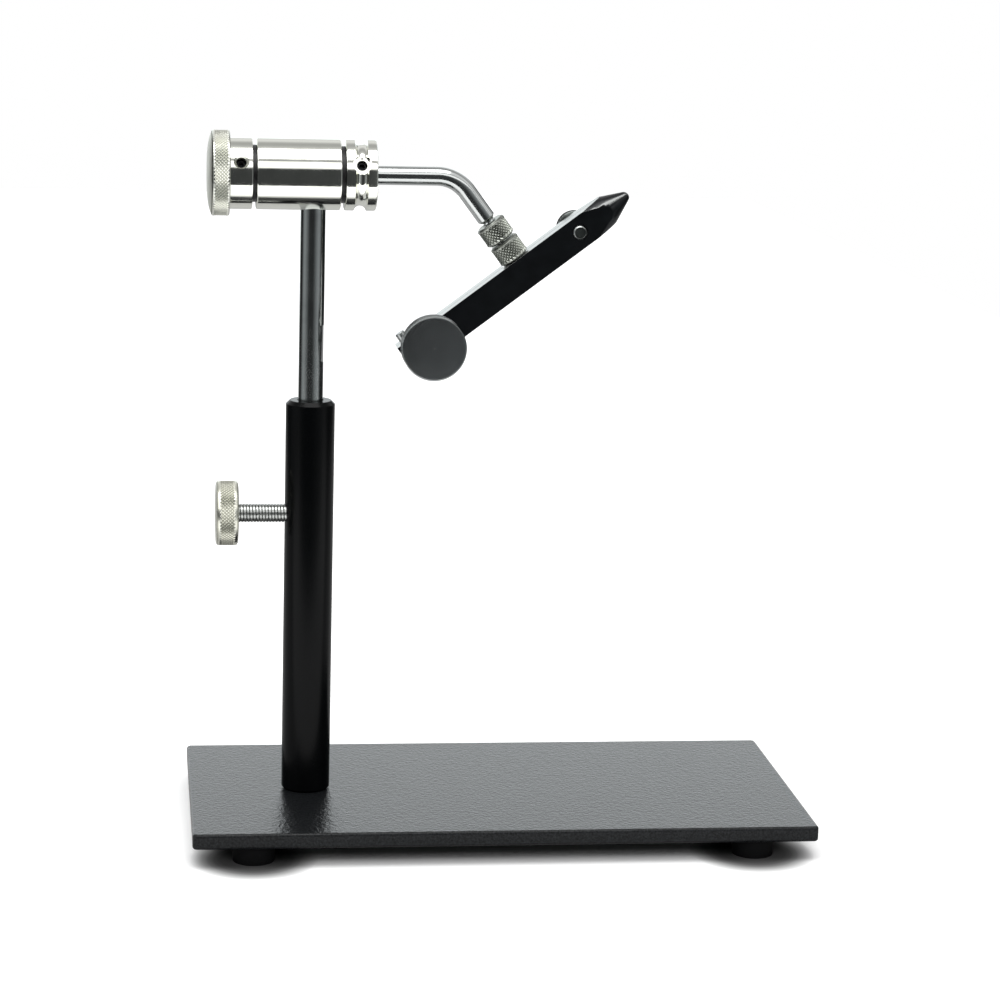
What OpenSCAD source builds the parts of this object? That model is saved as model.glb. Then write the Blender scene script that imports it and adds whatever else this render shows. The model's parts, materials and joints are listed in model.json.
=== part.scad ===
// Rotary fly tying vise on a pedestal base.
// A flat plate on rubber feet carries a black stem tube. A steel rod slides in the tube and
// carries a turned head, in which a bent crank arm turns. The arm holds a pair of long jaws.
// The origin is under the centre of the plate, on the table. X runs along the head, Y to the back.

/* [Base plate] */
// Length of the plate, left to right
base_l = 200; // [150:1:300]
// Depth of the plate, front to back
base_d = 100; // [70:1:160]
// Thickness of the plate
base_t = 5; // [4.5:0.1:10]
// Width of the bevel round the top and bottom edges
base_bevel = 0.6; // [0.2:0.1:1.2]
// Radius of the plate's corners seen from above
base_corner_r = 1.5; // [1.3:0.1:8]

/* [Feet] */
// Diameter of a rubber foot where it meets the plate
foot_d = 14; // [11:0.5:24]
// How much narrower a foot is at the table
foot_taper = 0.8; // [0:0.1:2]
// Height of a foot
foot_h = 6.5; // [5:0.1:14]
// Distance of a foot's centre from the plate's short edges
foot_in_x = 19.5; // [10:0.5:50]
// Distance of a foot's centre from the plate's long edges
foot_in_y = 10; // [8:0.5:30]
// Diameter of the recess for a foot screw's head
foot_recess_d = 7; // [6.4:0.1:9]
// Height of the rubber between the recess and the plate
foot_web = 2.4; // [1:0.1:3]
// Thread diameter of a foot screw
foot_screw_d = 3; // [2:0.1:4]
// Diameter of a foot screw's head
foot_screw_head_d = 5.6; // [4.5:0.1:6.2]
// Height of a foot screw's head
foot_screw_head_h = 2; // [1:0.1:2.5]
// How far a foot screw reaches into the plate
foot_screw_grip = 3.4; // [2:0.1:4]

/* [Stem tube] */
// Distance of the stem from the plate's left edge
stem_in_x = 38; // [20:1:100]
// Outside diameter of the stem tube
stem_d = 15.8; // [13:0.1:24]
// Height of the stem tube above the plate
stem_h = 129.5; // [110:0.5:160]
// Bevel at the tube's top
stem_top_bevel = 1.2; // [0.3:0.1:1.6]
// Bevel at the tube's foot
stem_foot_bevel = 0.8; // [0.2:0.1:1.6]
// Solid length at the tube's foot, below the bore
stem_solid_h = 17; // [14:0.5:30]
// Thread diameter of the screw that holds the stem to the plate
stem_screw_d = 6; // [5:0.1:8]
// How far that screw reaches into the stem
stem_screw_grip = 14; // [8:0.5:16]
// Diameter of its countersunk head
stem_screw_head_d = 12; // [9:0.1:15]
// Height of its countersunk head
stem_screw_head_h = 3.2; // [2:0.1:3.6]
// Width of its hexagon socket
stem_screw_socket = 4; // [2.5:0.1:5]

/* [Height screw] */
// Height of the screw above the plate
lock_z = 92.3; // [82:0.1:108]
// Thread diameter
lock_d = 6; // [4.5:0.1:7]
// Diameter of the knurled knob
lock_knob_d = 21; // [14:0.5:30]
// Width of the knurled knob
lock_knob_w = 7.2; // [4:0.1:12]
// Bevel on the knob's edges
lock_knob_bevel = 1; // [0.3:0.1:1.8]
// Bare thread between the knob and the tube
lock_standoff = 15; // [4:0.5:25]
// Diameter of the soft plug that bears on the rod
lock_plug_d = 5; // [3.5:0.1:5.4]
// Thickness of the plug's head
lock_plug_t = 1.2; // [0.8:0.1:2]
// Diameter of the plug's tail in the screw's tip
lock_tail_d = 2.5; // [1.5:0.1:3]
// Length of the plug's tail
lock_tail_l = 3; // [1.5:0.1:5]

/* [Rod] */
// Diameter of the sliding rod
rod_d = 8; // [6:0.1:10]
// Length of rod inside the tube, at the height shown
rod_in_tube = 59.5; // [48:0.5:75]
// Bevel at the rod's ends
rod_bevel = 0.5; // [0.1:0.1:1]
// Depth of the spanner flat
flat_depth = 0.5; // [0.1:0.1:1]
// Length of the spanner flat
flat_l = 12; // [6:0.5:20]
// Height of the spanner flat's lower end above the tube
flat_up = 12.4; // [4:0.1:25]
// Direction that the flat faces, from the head's axis towards the front
flat_angle = 20; // [0:1:90]

/* [Head] */
// Height of the head's axis above the plate
head_z = 201.8; // [180:0.1:240]
// Diameter of the barrel and of both collars
barrel_d = 22.6; // [21.5:0.1:30]
// Reach of the barrel to the left of the rod
barrel_left = 18.2; // [14:0.1:26]
// Reach of the barrel to the right of the rod
barrel_right = 8.4; // [7:0.1:16]
// Bevel on the barrel's edges
barrel_bevel = 0.5; // [0.1:0.1:1.2]
// Wall between the rod's socket and the bushes
socket_web = 1.1; // [0.6:0.1:1.6]
// Outside diameter of the bearing bushes
bush_d = 9; // [8:0.1:9.4]
// Length of a bearing bush
bush_l = 9; // [4:0.1:12]
// Diameter of the plain bore between the bushes
barrel_bore_d = 7.6; // [6.8:0.1:8.8]
// Diameter of the thrust washers
washer_d = 18; // [12:0.1:21]
// Thickness of the thrust washers
washer_t = 1.15; // [0.6:0.05:2]
// Thread diameter of the grub screw that locks the head to the rod
head_grub_d = 3; // [2:0.1:4]
// Height of that grub screw above the socket's mouth
head_grub_up = 2.8; // [2:0.1:3.6]

/* [Handwheel] */
// Diameter of the knurled rim
wheel_d = 27; // [24:0.5:40]
// Width of the knurled rim
wheel_w = 5.3; // [3:0.1:9]
// Bevel on the rim's edges
wheel_bevel = 0.9; // [0.2:0.1:1.4]
// Length of the hub
hub_l = 7.4; // [6.6:0.1:14]
// Bevel at the hub's end
hub_bevel = 0.4; // [0.1:0.1:1]
// Solid end between the bore and the outer face
wheel_end = 3; // [1:0.1:5]
// Height of the domed outer face
wheel_dome = 1.5; // [0.3:0.1:3]

/* [Drive collar] */
// Width of the grooved collar
collar_w = 10.1; // [8:0.1:16]
// Bevel on the collar's edges
collar_bevel = 0.7; // [0.1:0.1:1.2]
// Width of the belt groove
groove_w = 4; // [3:0.1:5]
// Depth of the belt groove
groove_depth = 1.6; // [0.5:0.1:1.9]

/* [Collar grub screws] */
// Diameter, at the root of the thread
grub_d = 3.3; // [2.6:0.1:4]
// Depth of their outer ends below the hub's and the collar's outside
grub_sunk = 3.3; // [2:0.1:4]
// Width of the hexagon socket
grub_socket = 1.8; // [1.3:0.1:2]
// Depth of the hexagon socket
grub_socket_depth = 2; // [1:0.1:2.5]
// Mouth diameter in the handwheel's hub
hub_mouth_d = 4.9; // [4.6:0.1:6]
// Mouth diameter in the drive collar
collar_mouth_d = 6; // [5:0.1:6.6]
// Direction of both screws, upwards from the front
grub_angle = 23; // [0:1:60]

/* [Crank arm] */
// Diameter of the arm, which is also the rotary shaft
arm_d = 6; // [5:0.1:6.4]
// Straight arm between the collar and the bend
arm_out = 19.6; // [12:0.1:40]
// Radius of the bend on the arm's centre line
bend_r = 12.1; // [8:0.1:25]
// How much thinner the arm is drawn in the bend
bend_thin = 0.04; // [0.02:0.01:0.2]
// Angle of the bend, which is also the lean of the jaws' axis
bend_angle = 52.7; // [45:0.1:65]
// Straight leg between the bend and its shoulder
leg_l = 11.3; // [6:0.1:25]
// Bevel at the leg's shoulder
leg_bevel = 0.8; // [0.2:0.1:1]
// Diameter of the threaded stud at the leg's end
stud_d = 4; // [3:0.1:4.4]
// Depth of the stud in the near jaw
stud_grip = 6; // [4:0.1:7.2]

/* [Knurled nuts] */
// Diameter of a nut
nut_d = 10; // [8:0.1:16]
// Thickness of a nut
nut_t = 6.7; // [4:0.1:10]
// Bevel on a nut's edges
nut_bevel = 0.7; // [0.2:0.1:1.2]
// Gap between the leg's shoulder and the upper nut
nut_top_gap = 1; // [0.3:0.1:3]
// Gap between the two nuts
nut_mid_gap = 0.7; // [0.2:0.1:3]
// Gap between the lower nut and the jaws
nut_seat_gap = 0.2; // [0.1:0.1:1]

/* [Jaws] */
// Height of the jaws
jaw_h = 10; // [9:0.1:14]
// Thickness of both jaws together
jaw_pair_t = 9.4; // [5.6:0.1:10]
// Slit between the jaws
jaw_slit = 0.3; // [0.2:0.05:0.6]
// Length of the jaws in front of the stud, to the nose
jaw_front = 41.4; // [34:0.1:60]
// Length of the jaws behind the stud
jaw_back = 47.6; // [46:0.1:70]
// Radius of the rounded nose
nose_r = 1.8; // [0.8:0.1:2.4]
// Half angle of the nose cone
nose_angle = 25; // [18:0.5:35]
// Distance from the nose at which the turned taper ends
taper_l = 16; // [13:0.1:18]
// Length of the near jaw's boss round the stud
boss_l = 8.8; // [7:0.1:12]
// Height of the boss, from the top of the jaws
boss_h = 7.4; // [6.6:0.1:7.6]
// Gap round the boss in the far jaw
boss_gap = 0.35; // [0.2:0.05:0.8]

/* [Adjusting screw] */
// Distance of the adjusting screw behind the nose
adjust_back = 19.9; // [18.5:0.1:28]
// Diameter of the adjusting screw
adjust_d = 4.9; // [4:0.1:5.2]
// How far its bevelled end stands out of the near jaw
adjust_proud = 0.3; // [0:0.1:1]
// Bevel at its near end
adjust_bevel = 0.8; // [0.2:0.1:1.2]
// Diameter of its knurled head behind the far jaw
adjust_head_d = 11.6; // [9:0.1:16]
// Width of its knurled head
adjust_head_w = 5; // [3:0.1:8]
// Bevel on the head's edges
adjust_head_bevel = 0.8; // [0.2:0.1:1.2]
// Gap round the screw in the far jaw
adjust_gap = 0.3; // [0.2:0.05:0.5]
// Diameter of the washer under the head
seat_d = 9.4; // [8:0.1:12]
// Thickness of the washer
seat_t = 0.8; // [0.5:0.1:1.5]
// Gap between the washer and the far jaw
seat_gap = 0.1; // [0.05:0.05:0.3]

/* [Jaw spring] */
// Diameter of the spring's wire
spring_wire = 0.6; // [0.4:0.05:0.7]
// Mean diameter of the coil
spring_d = 6.3; // [6.2:0.1:6.5]
// Turns of the coil
spring_turns = 3; // [2:0.25:3.5]
// Diameter of the spring's pocket in each jaw
pocket_d = 7.6; // [7.4:0.1:8.4]
// Depth of the spring's pocket in each jaw
pocket_depth = 1.5; // [1.2:0.1:1.6]
// Gap between the spring and the floor of each pocket
spring_gap = 0.1; // [0.05:0.05:0.2]

/* [Clamp screw] */
// Distance of the clamp screw behind the stud
clamp_back = 38; // [30:0.1:39.5]
// Thread diameter
clamp_d = 6; // [4.5:0.1:7]
// Diameter of the knurled knob
clamp_knob_d = 20.6; // [14:0.5:30]
// Width of the knurled knob
clamp_knob_w = 7; // [4:0.1:12]
// Bevel on the knob's edges
clamp_knob_bevel = 0.7; // [0.3:0.1:1.6]
// Bare thread between the knob and the near jaw
clamp_standoff = 6.5; // [2:0.1:12]
// Diameter of the brass tip that bears on the far jaw
clamp_tip_d = 5; // [3.5:0.1:5.4]

/* [Rear keeper] */
// Distance of the keeper pin from the jaws' rear end
keeper_in = 3.4; // [2.4:0.1:3.8]
// Diameter of the keeper pin
keeper_d = 2; // [1.4:0.1:2.1]
// Diameter of its head
keeper_head_d = 3.2; // [2.6:0.1:4]
// Height of its head above the jaws
keeper_head_h = 2.6; // [1.5:0.1:4]
// Length of the near jaw's tongue under the far jaw
tongue_l = 6.4; // [5:0.1:6.6]
// Distance of the tongue from the far jaw's outer face
tongue_in = 0.4; // [0:0.1:0.6]
// Gap round the keeper pin in the far jaw
keeper_gap = 0.25; // [0.1:0.05:0.3]

/* [Fits] */
// Radial clearance of a shaft, rod or thread in its bore
run_clear = 0.05; // [0.02:0.01:0.09]
// Radial clearance of a screw or pin that does not move
fix_clear = 0.02; // [0.01:0.01:0.05]
// Gap between faces that turn or slide on each other
face_gap = 0.05; // [0.02:0.01:0.1]

/* [Hidden] */
$fn = 96;

// Overrun of every cut
cut = 0.4;
// Length on which a joined solid runs into its neighbour
join = 0.2;

// Places that follow from the sizes above
plate_top = foot_h + base_t;
stem_x = stem_in_x - base_l / 2;
axis_z = plate_top + head_z;
rod_foot_z = plate_top + stem_h - rod_in_tube;
foot_x = base_l / 2 - foot_in_x;
foot_y = base_d / 2 - foot_in_y;
wheel_right = -barrel_left - washer_t - 2 * face_gap;
wheel_left = wheel_right - hub_l - wheel_w;
collar_left = barrel_right + washer_t + 2 * face_gap;
collar_right = collar_left + collar_w;
shaft_left = wheel_left + wheel_end + cut;
bend_x = collar_right + arm_out;
bore_d = arm_d + 2 * run_clear;
stud_bore_d = stud_d + 2 * run_clear;
jaw_lean = 90 - bend_angle;
nuts_l = nut_top_gap + nut_t + nut_mid_gap + nut_t + nut_seat_gap;
leg_to_jaws = leg_l + nuts_l + jaw_h / 2;
adjust_t = jaw_front - adjust_back;
half_pair = jaw_pair_t / 2;
half_slit = jaw_slit / 2;
cone_start_r = nose_r * cos(nose_angle);
cone_start = nose_r * (1 - sin(nose_angle));
cone_end = cone_start + (jaw_h / 2 - cone_start_r) / tan(nose_angle);
corner_r = norm([jaw_h / 2, half_pair]);
taper_slope = (corner_r - jaw_h / 2) / (taper_l - cone_end);
keeper_t = keeper_in - jaw_back;
keeper_y = (half_pair - tongue_in) / 2;
tongue_top = -jaw_slit;

// Moves its children to the head's axis, over the stem
module at_head() {
    translate([stem_x, 0, axis_z]) children();
}

// Moves its children to the jaws' own frame. X runs to the nose, Z up across the jaws,
// and the origin lies on the stud's axis, halfway up the jaws
module at_jaws() {
    at_head()
        translate([bend_x, 0, -bend_r])
            rotate([0, bend_angle, 0])
                translate([0, 0, bend_r])
                    rotate([0, -90, 0])
                        translate([0, 0, -leg_to_jaws])
                            children();
}

// Turned disc or shaft along +X, with a bevel at each end
module turned_x(d, l, left_bevel, right_bevel) {
    rotate([0, 90, 0])
        turned(d, l, left_bevel, right_bevel);
}

// Turned disc or shaft along +Z, with a bevel at each end
module turned(d, l, low_bevel, high_bevel) {
    rotate_extrude()
        polygon([[0, 0], [d / 2 - low_bevel, 0], [d / 2, low_bevel],
                 [d / 2, l - high_bevel], [d / 2 - high_bevel, l], [0, l]]);
}

// Plain cylinder along +X
module rod_x(d, l) {
    rotate([0, 90, 0]) cylinder(d = d, h = l);
}

// Plain cylinder along +Y
module rod_y(d, l) {
    rotate([-90, 0, 0]) cylinder(d = d, h = l);
}

module base_plate() {
    color("#5d6061")
        difference() {
            translate([0, 0, foot_h])
                hull()
                    for (x = [-1, 1], y = [-1, 1])
                        translate([x * (base_l / 2 - base_corner_r), y * (base_d / 2 - base_corner_r), 0]) {
                            cylinder(r = base_corner_r - base_bevel, h = base_t, $fn = 32);
                            translate([0, 0, base_bevel])
                                cylinder(r = base_corner_r, h = base_t - 2 * base_bevel, $fn = 32);
                        }
            translate([stem_x, 0, foot_h - cut])
                cylinder(d = stem_screw_d + 2 * fix_clear, h = base_t + 2 * cut);
            translate([stem_x, 0, foot_h - fix_clear])
                cylinder(d1 = stem_screw_head_d + 2 * fix_clear, d2 = stem_screw_d + 2 * fix_clear,
                         h = stem_screw_head_h);
            at_feet()
                translate([0, 0, foot_h - cut])
                    cylinder(d = foot_screw_d + 2 * fix_clear, h = cut + foot_screw_grip + fix_clear);
        }
}

// Repeats its children at the four feet
module at_feet() {
    for (x = [-1, 1], y = [-1, 1])
        translate([x * foot_x, y * foot_y, 0]) children();
}

module rubber_feet() {
    color("#1b1c1e")
        at_feet()
            difference() {
                cylinder(d1 = foot_d - foot_taper, d2 = foot_d, h = foot_h);
                translate([0, 0, -cut])
                    cylinder(d = foot_recess_d, h = cut + foot_h - foot_web);
                cylinder(d = foot_screw_d + 2 * fix_clear, h = foot_h + cut);
            }
}

module foot_screws() {
    color("silver")
        at_feet()
            translate([0, 0, foot_h - foot_web]) {
                cylinder(d = foot_screw_d, h = foot_web + foot_screw_grip);
                translate([0, 0, -foot_screw_head_h])
                    turned(foot_screw_head_d, foot_screw_head_h, foot_screw_head_h / 4, 0);
            }
}

module stem_tube() {
    color("#17191c")
        translate([stem_x, 0, plate_top])
            difference() {
                turned(stem_d, stem_h, stem_foot_bevel, stem_top_bevel);
                translate([0, 0, stem_solid_h])
                    cylinder(d = rod_d + 2 * run_clear, h = stem_h);
                translate([0, 0, -cut])
                    cylinder(d = stem_screw_d + 2 * fix_clear, h = cut + stem_screw_grip + fix_clear);
                translate([-stem_d, 0, lock_z])
                    rod_x(lock_d + 2 * run_clear, stem_d);
            }
}

module stem_screw() {
    color("silver")
        translate([stem_x, 0, foot_h])
            difference() {
                union() {
                    cylinder(d1 = stem_screw_head_d, d2 = stem_screw_d, h = stem_screw_head_h);
                    cylinder(d = stem_screw_d, h = base_t + stem_screw_grip);
                }
                translate([0, 0, -cut])
                    cylinder(d = stem_screw_socket / cos(30), h = cut + stem_screw_head_h * 0.8, $fn = 6);
            }
}

// Knob, thread and hollow tip, pointing along +X with the tip's face at the origin
module thumb_screw(d, l, knob_d, knob_w, knob_bevel, tail_d, tail_l) {
    difference() {
        union() {
            translate([-l, 0, 0]) rod_x(d, l);
            translate([-l - knob_w, 0, 0]) turned_x(knob_d, knob_w, knob_bevel, knob_bevel);
        }
        translate([-tail_l - fix_clear, 0, 0])
            rod_x(tail_d + 2 * run_clear, tail_l + fix_clear + cut);
    }
}

// Headed plug, pointing along +X with the underside of its head at the origin
module tip_plug(d, t, tail_d, tail_l) {
    rod_x(d, t);
    translate([-tail_l, 0, 0]) rod_x(tail_d, tail_l + join);
}

// Distance of the plug's seat from the rod's axis
lock_seat = rod_d / 2 + face_gap + lock_plug_t;
lock_l = lock_standoff + stem_d / 2 - lock_seat - face_gap;

module height_screw() {
    color("#b9b9b0")
        translate([stem_x - lock_seat - face_gap, 0, plate_top + lock_z])
            thumb_screw(lock_d, lock_l, lock_knob_d, lock_knob_w, lock_knob_bevel,
                        lock_tail_d, lock_tail_l);
}

module height_screw_plug() {
    color("ivory")
        translate([stem_x - lock_seat, 0, plate_top + lock_z])
            tip_plug(lock_plug_d, lock_plug_t, lock_tail_d, lock_tail_l - face_gap);
}

// The rod's socket ends under the bushes, and the rod stops one face gap short of it
socket_end = -bush_d / 2 - fix_clear - socket_web;
rod_l = axis_z + socket_end - face_gap - rod_foot_z;

module stem_rod() {
    color("#c4c6c6")
        translate([stem_x, 0, rod_foot_z])
            difference() {
                turned(rod_d, rod_l, rod_bevel, rod_bevel);
                rotate([0, 0, -flat_angle])
                    translate([rod_d / 2 - flat_depth, -rod_d / 2, rod_in_tube + flat_up])
                        cube([rod_d, rod_d, flat_l]);
            }
}

module head_barrel() {
    color("#d5d6d2")
        at_head()
            difference() {
                translate([-barrel_left, 0, 0])
                    turned_x(barrel_d, barrel_left + barrel_right, barrel_bevel, barrel_bevel);
                translate([-barrel_left - cut, 0, 0])
                    rod_x(barrel_bore_d, barrel_left + barrel_right + 2 * cut);
                translate([-barrel_left - cut, 0, 0])
                    rod_x(bush_d + 2 * fix_clear, cut + bush_l);
                translate([barrel_right - bush_l, 0, 0])
                    rod_x(bush_d + 2 * fix_clear, cut + bush_l);
                translate([0, 0, -barrel_d])
                    cylinder(d = rod_d + 2 * run_clear, h = barrel_d + socket_end);
                translate([0, 0, head_grub_z])
                    rod_y(head_grub_d + 2 * fix_clear, barrel_d);
            }
}

// The head's grub screw, measured down from the head's axis
head_grub_z = head_grub_up - barrel_d / 2;
head_grub_start = rod_d / 2 + run_clear + face_gap;
head_grub_end = sqrt(pow(barrel_d / 2, 2) - pow(head_grub_z, 2)) - head_grub_d / 6;

module head_grub_screw() {
    color("#35373a")
        at_head()
            translate([0, head_grub_start, head_grub_z])
                difference() {
                    rod_y(head_grub_d, head_grub_end - head_grub_start);
                    translate([0, (head_grub_end - head_grub_start) / 2, 0])
                        rotate([-90, 0, 0]) cylinder(d = head_grub_d / 2, h = barrel_d, $fn = 6);
                }
}

// Plain bearing bush, from the origin along +X
module bush() {
    difference() {
        turned_x(bush_d, bush_l, barrel_bevel, barrel_bevel);
        translate([-cut, 0, 0]) rod_x(bore_d, bush_l + 2 * cut);
    }
}

module rear_bush() {
    color("#a97c46")
        at_head() translate([-barrel_left, 0, 0]) bush();
}

module front_bush() {
    color("#a97c46")
        at_head() translate([barrel_right - bush_l, 0, 0]) bush();
}

// Thrust washer, from the origin along +X
module thrust_washer() {
    difference() {
        rod_x(washer_d, washer_t);
        translate([-cut, 0, 0]) rod_x(bore_d + 2 * run_clear, washer_t + 2 * cut);
    }
}

module rear_thrust_washer() {
    color("#202224")
        at_head() translate([-barrel_left - washer_t - face_gap, 0, 0]) thrust_washer();
}

module front_thrust_washer() {
    color("#202224")
        at_head() translate([barrel_right + face_gap, 0, 0]) thrust_washer();
}

// Radial hole for a grub screw, along the screws' direction. The children are its mouth
module grub_hole() {
    rotate([-grub_angle, 0, 0])
        rotate([90, 0, 0]) {
            cylinder(d = grub_hole_d, h = wheel_d);
            children();
        }
}

grub_hole_d = grub_d + 2 * fix_clear;
countersink_h = (hub_mouth_d - grub_hole_d) / 2;
grub_l = barrel_d / 2 - grub_sunk - arm_d / 2 - face_gap;

// Radial grub screw that bears on the arm
module grub_screw() {
    rotate([-grub_angle, 0, 0])
        rotate([90, 0, 0])
            translate([0, 0, arm_d / 2 + face_gap])
                difference() {
                    turned(grub_d, grub_l, grub_d / 8, grub_d / 10);
                    translate([0, 0, grub_l - grub_socket_depth])
                        cylinder(d = grub_socket / cos(30), h = grub_socket_depth + cut, $fn = 6);
                }
}

hub_grub_x = wheel_right - hub_l / 2;
collar_grub_x = (collar_left + collar_right) / 2;

// Radius of the dome's foot, and of the ball that it is part of
dome_r = wheel_d / 2 - wheel_bevel - join;
dome_ball_r = (pow(dome_r, 2) + pow(wheel_dome, 2)) / (2 * wheel_dome);

module handwheel() {
    color("#c9c9c0")
        at_head()
            difference() {
                union() {
                    translate([wheel_left, 0, 0]) turned_x(wheel_d, wheel_w, wheel_bevel, wheel_bevel);
                    translate([wheel_left - wheel_dome + dome_ball_r, 0, 0])
                        intersection() {
                            sphere(r = dome_ball_r);
                            translate([-dome_ball_r - cut, 0, 0])
                                rod_x(2 * dome_r, cut + wheel_dome + join);
                        }
                    translate([wheel_left + wheel_w - join, 0, 0])
                        turned_x(barrel_d, hub_l + join, 0, hub_bevel);
                }
                translate([wheel_left + wheel_end, 0, 0])
                    rod_x(arm_d + 2 * fix_clear, wheel_w + hub_l);
                translate([hub_grub_x, 0, 0])
                    grub_hole()
                        translate([0, 0, barrel_d / 2 - countersink_h])
                            cylinder(d1 = grub_hole_d, d2 = hub_mouth_d + 2 * cut, h = countersink_h + cut);
            }
}

module handwheel_grub_screw() {
    color("#35373a")
        at_head() translate([hub_grub_x, 0, 0]) grub_screw();
}

// The belt groove is a round channel whose circle lies partly outside the collar
groove_r = (pow(groove_w / 2, 2) + pow(groove_depth, 2)) / (2 * groove_depth);

module drive_collar() {
    color("#d5d6d2")
        at_head()
            difference() {
                translate([collar_left, 0, 0])
                    turned_x(barrel_d, collar_w, collar_bevel, collar_bevel);
                translate([collar_left - cut, 0, 0])
                    rod_x(arm_d + 2 * fix_clear, collar_w + 2 * cut);
                translate([collar_grub_x, 0, 0])
                    rotate([0, 90, 0])
                        rotate_extrude()
                            translate([barrel_d / 2 - groove_depth + groove_r, 0])
                                circle(r = groove_r);
                translate([collar_grub_x, 0, 0])
                    grub_hole()
                        translate([0, 0, barrel_d / 2 - groove_depth - grub_d / 8])
                            cylinder(d = collar_mouth_d, h = barrel_d);
            }
}

module collar_grub_screw() {
    color("#35373a")
        at_head() translate([collar_grub_x, 0, 0]) grub_screw();
}

module crank_arm() {
    color("#c4c6c6") {
        at_head() {
            translate([shaft_left, 0, 0])
                turned_x(arm_d, bend_x + join - shaft_left, leg_bevel, 0);
            translate([bend_x, 0, -bend_r])
                rotate([90, 0, 0])
                    rotate([0, 0, 90 - bend_angle])
                        rotate_extrude(angle = bend_angle)
                            translate([bend_r, 0]) circle(d = arm_d - bend_thin);
        }
        at_jaws() {
            translate([0, 0, jaw_h / 2 + nuts_l])
                turned(arm_d, leg_l + join, leg_bevel, 0);
            translate([0, 0, jaw_h / 2 - stud_grip])
                cylinder(d = stud_d, h = stud_grip + nuts_l + leg_bevel);
        }
    }
}

// Knurled nut standing at the origin
module knurled_nut() {
    difference() {
        turned(nut_d, nut_t, nut_bevel, nut_bevel);
        translate([0, 0, -cut]) cylinder(d = stud_bore_d, h = nut_t + 2 * cut);
    }
}

module upper_nut() {
    color("#8f928c")
        at_jaws()
            translate([0, 0, jaw_h / 2 + nut_seat_gap + nut_t + nut_mid_gap]) knurled_nut();
}

module lower_nut() {
    color("#8f928c")
        at_jaws() translate([0, 0, jaw_h / 2 + nut_seat_gap]) knurled_nut();
}

// The turned nose that both jaws share, along +X with the nose at jaw_front
module turned_nose() {
    rotate([0, -90, 0])
        translate([0, 0, -jaw_front]) {
            translate([0, 0, nose_r]) sphere(r = nose_r);
            translate([0, 0, cone_start])
                cylinder(r1 = cone_start_r, r2 = jaw_h / 2, h = cone_end - cone_start);
            translate([0, 0, cone_end])
                cylinder(r1 = jaw_h / 2, r2 = corner_r + cut * taper_slope, h = taper_l + cut - cone_end);
            translate([0, 0, taper_l + cut])
                cylinder(r = corner_r + cut, h = jaw_front + jaw_back - taper_l);
        }
}

// A slab between two depths, over the whole length and height of the jaws
module jaw_slab(y_near, y_far) {
    translate([-jaw_back, y_near, -jaw_h / 2])
        cube([jaw_front + jaw_back, y_far - y_near, jaw_h]);
}

// Pocket for the spring, sunk in the face at the depth y, towards the side
module spring_pocket(y) {
    translate([adjust_t, y, 0]) rod_y(pocket_d, pocket_depth + cut);
}

module near_jaw() {
    color("#0f1114")
        at_jaws()
            difference() {
                union() {
                    intersection() {
                        turned_nose();
                        jaw_slab(-half_pair, -half_slit);
                    }
                    translate([-boss_l / 2, -half_slit - join, jaw_h / 2 - boss_h])
                        cube([boss_l, half_pair + half_slit + join, boss_h]);
                    translate([-jaw_back, -half_slit - join, -jaw_h / 2])
                        cube([tongue_l, half_pair - tongue_in + half_slit + join,
                              jaw_h / 2 + tongue_top]);
                }
                translate([0, 0, jaw_h / 2 - stud_grip - face_gap])
                    cylinder(d = stud_bore_d, h = jaw_h);
                translate([adjust_t, -half_pair - cut, 0])
                    rod_y(adjust_d + 2 * run_clear, jaw_pair_t);
                spring_pocket(-half_slit - pocket_depth);
                translate([-clamp_back, -half_pair - cut, 0])
                    rod_y(clamp_d + 2 * run_clear, jaw_pair_t);
                translate([keeper_t, keeper_y, -jaw_h / 2 + keeper_floor])
                    cylinder(d = keeper_d + 2 * fix_clear, h = jaw_h);
            }
}

// Solid left under the keeper pin
keeper_floor = keeper_d / 2;

module far_jaw() {
    color("#0f1114")
        at_jaws()
            difference() {
                intersection() {
                    turned_nose();
                    jaw_slab(half_slit, half_pair);
                }
                translate([-boss_l / 2 - boss_gap, -cut, jaw_h / 2 - boss_h - boss_gap])
                    cube([boss_l + 2 * boss_gap, jaw_pair_t, jaw_h]);
                translate([-jaw_back - cut, -cut, -jaw_h])
                    cube([tongue_l + cut + boss_gap, jaw_pair_t, jaw_h]);
                translate([adjust_t, -cut, 0])
                    rod_y(adjust_d + 2 * adjust_gap, jaw_pair_t);
                spring_pocket(half_slit - cut);
                translate([keeper_t, keeper_y, -cut])
                    cylinder(d = keeper_d + 2 * keeper_gap, h = jaw_h);
                translate([keeper_t - keeper_d / 2 - keeper_gap, -half_pair, -cut])
                    cube([keeper_d + 2 * keeper_gap, half_pair + keeper_y, jaw_h]);
            }
}

// Depth at which the adjusting screw's head starts
adjust_head_y = half_pair + seat_gap + seat_t + face_gap;

module adjusting_screw() {
    color("#1d1f22")
        at_jaws()
            translate([adjust_t, -half_pair - adjust_proud, 0])
                rotate([-90, 0, 0]) {
                    turned(adjust_d, half_pair + adjust_proud + adjust_head_y + join, adjust_bevel, 0);
                    translate([0, 0, half_pair + adjust_proud + adjust_head_y])
                        turned(adjust_head_d, adjust_head_w, adjust_head_bevel, adjust_head_bevel);
                }
}

module adjusting_washer() {
    color("silver")
        at_jaws()
            translate([adjust_t, half_pair + seat_gap, 0])
                difference() {
                    rod_y(seat_d, seat_t);
                    translate([0, -cut, 0]) rod_y(adjust_d + 2 * run_clear, seat_t + 2 * cut);
                }
}

// Helical wire, as rings of points joined by faces
spring_sides = 8;
spring_steps = 16;
spring_l = jaw_slit + 2 * pocket_depth - spring_wire - 2 * spring_gap;

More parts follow.
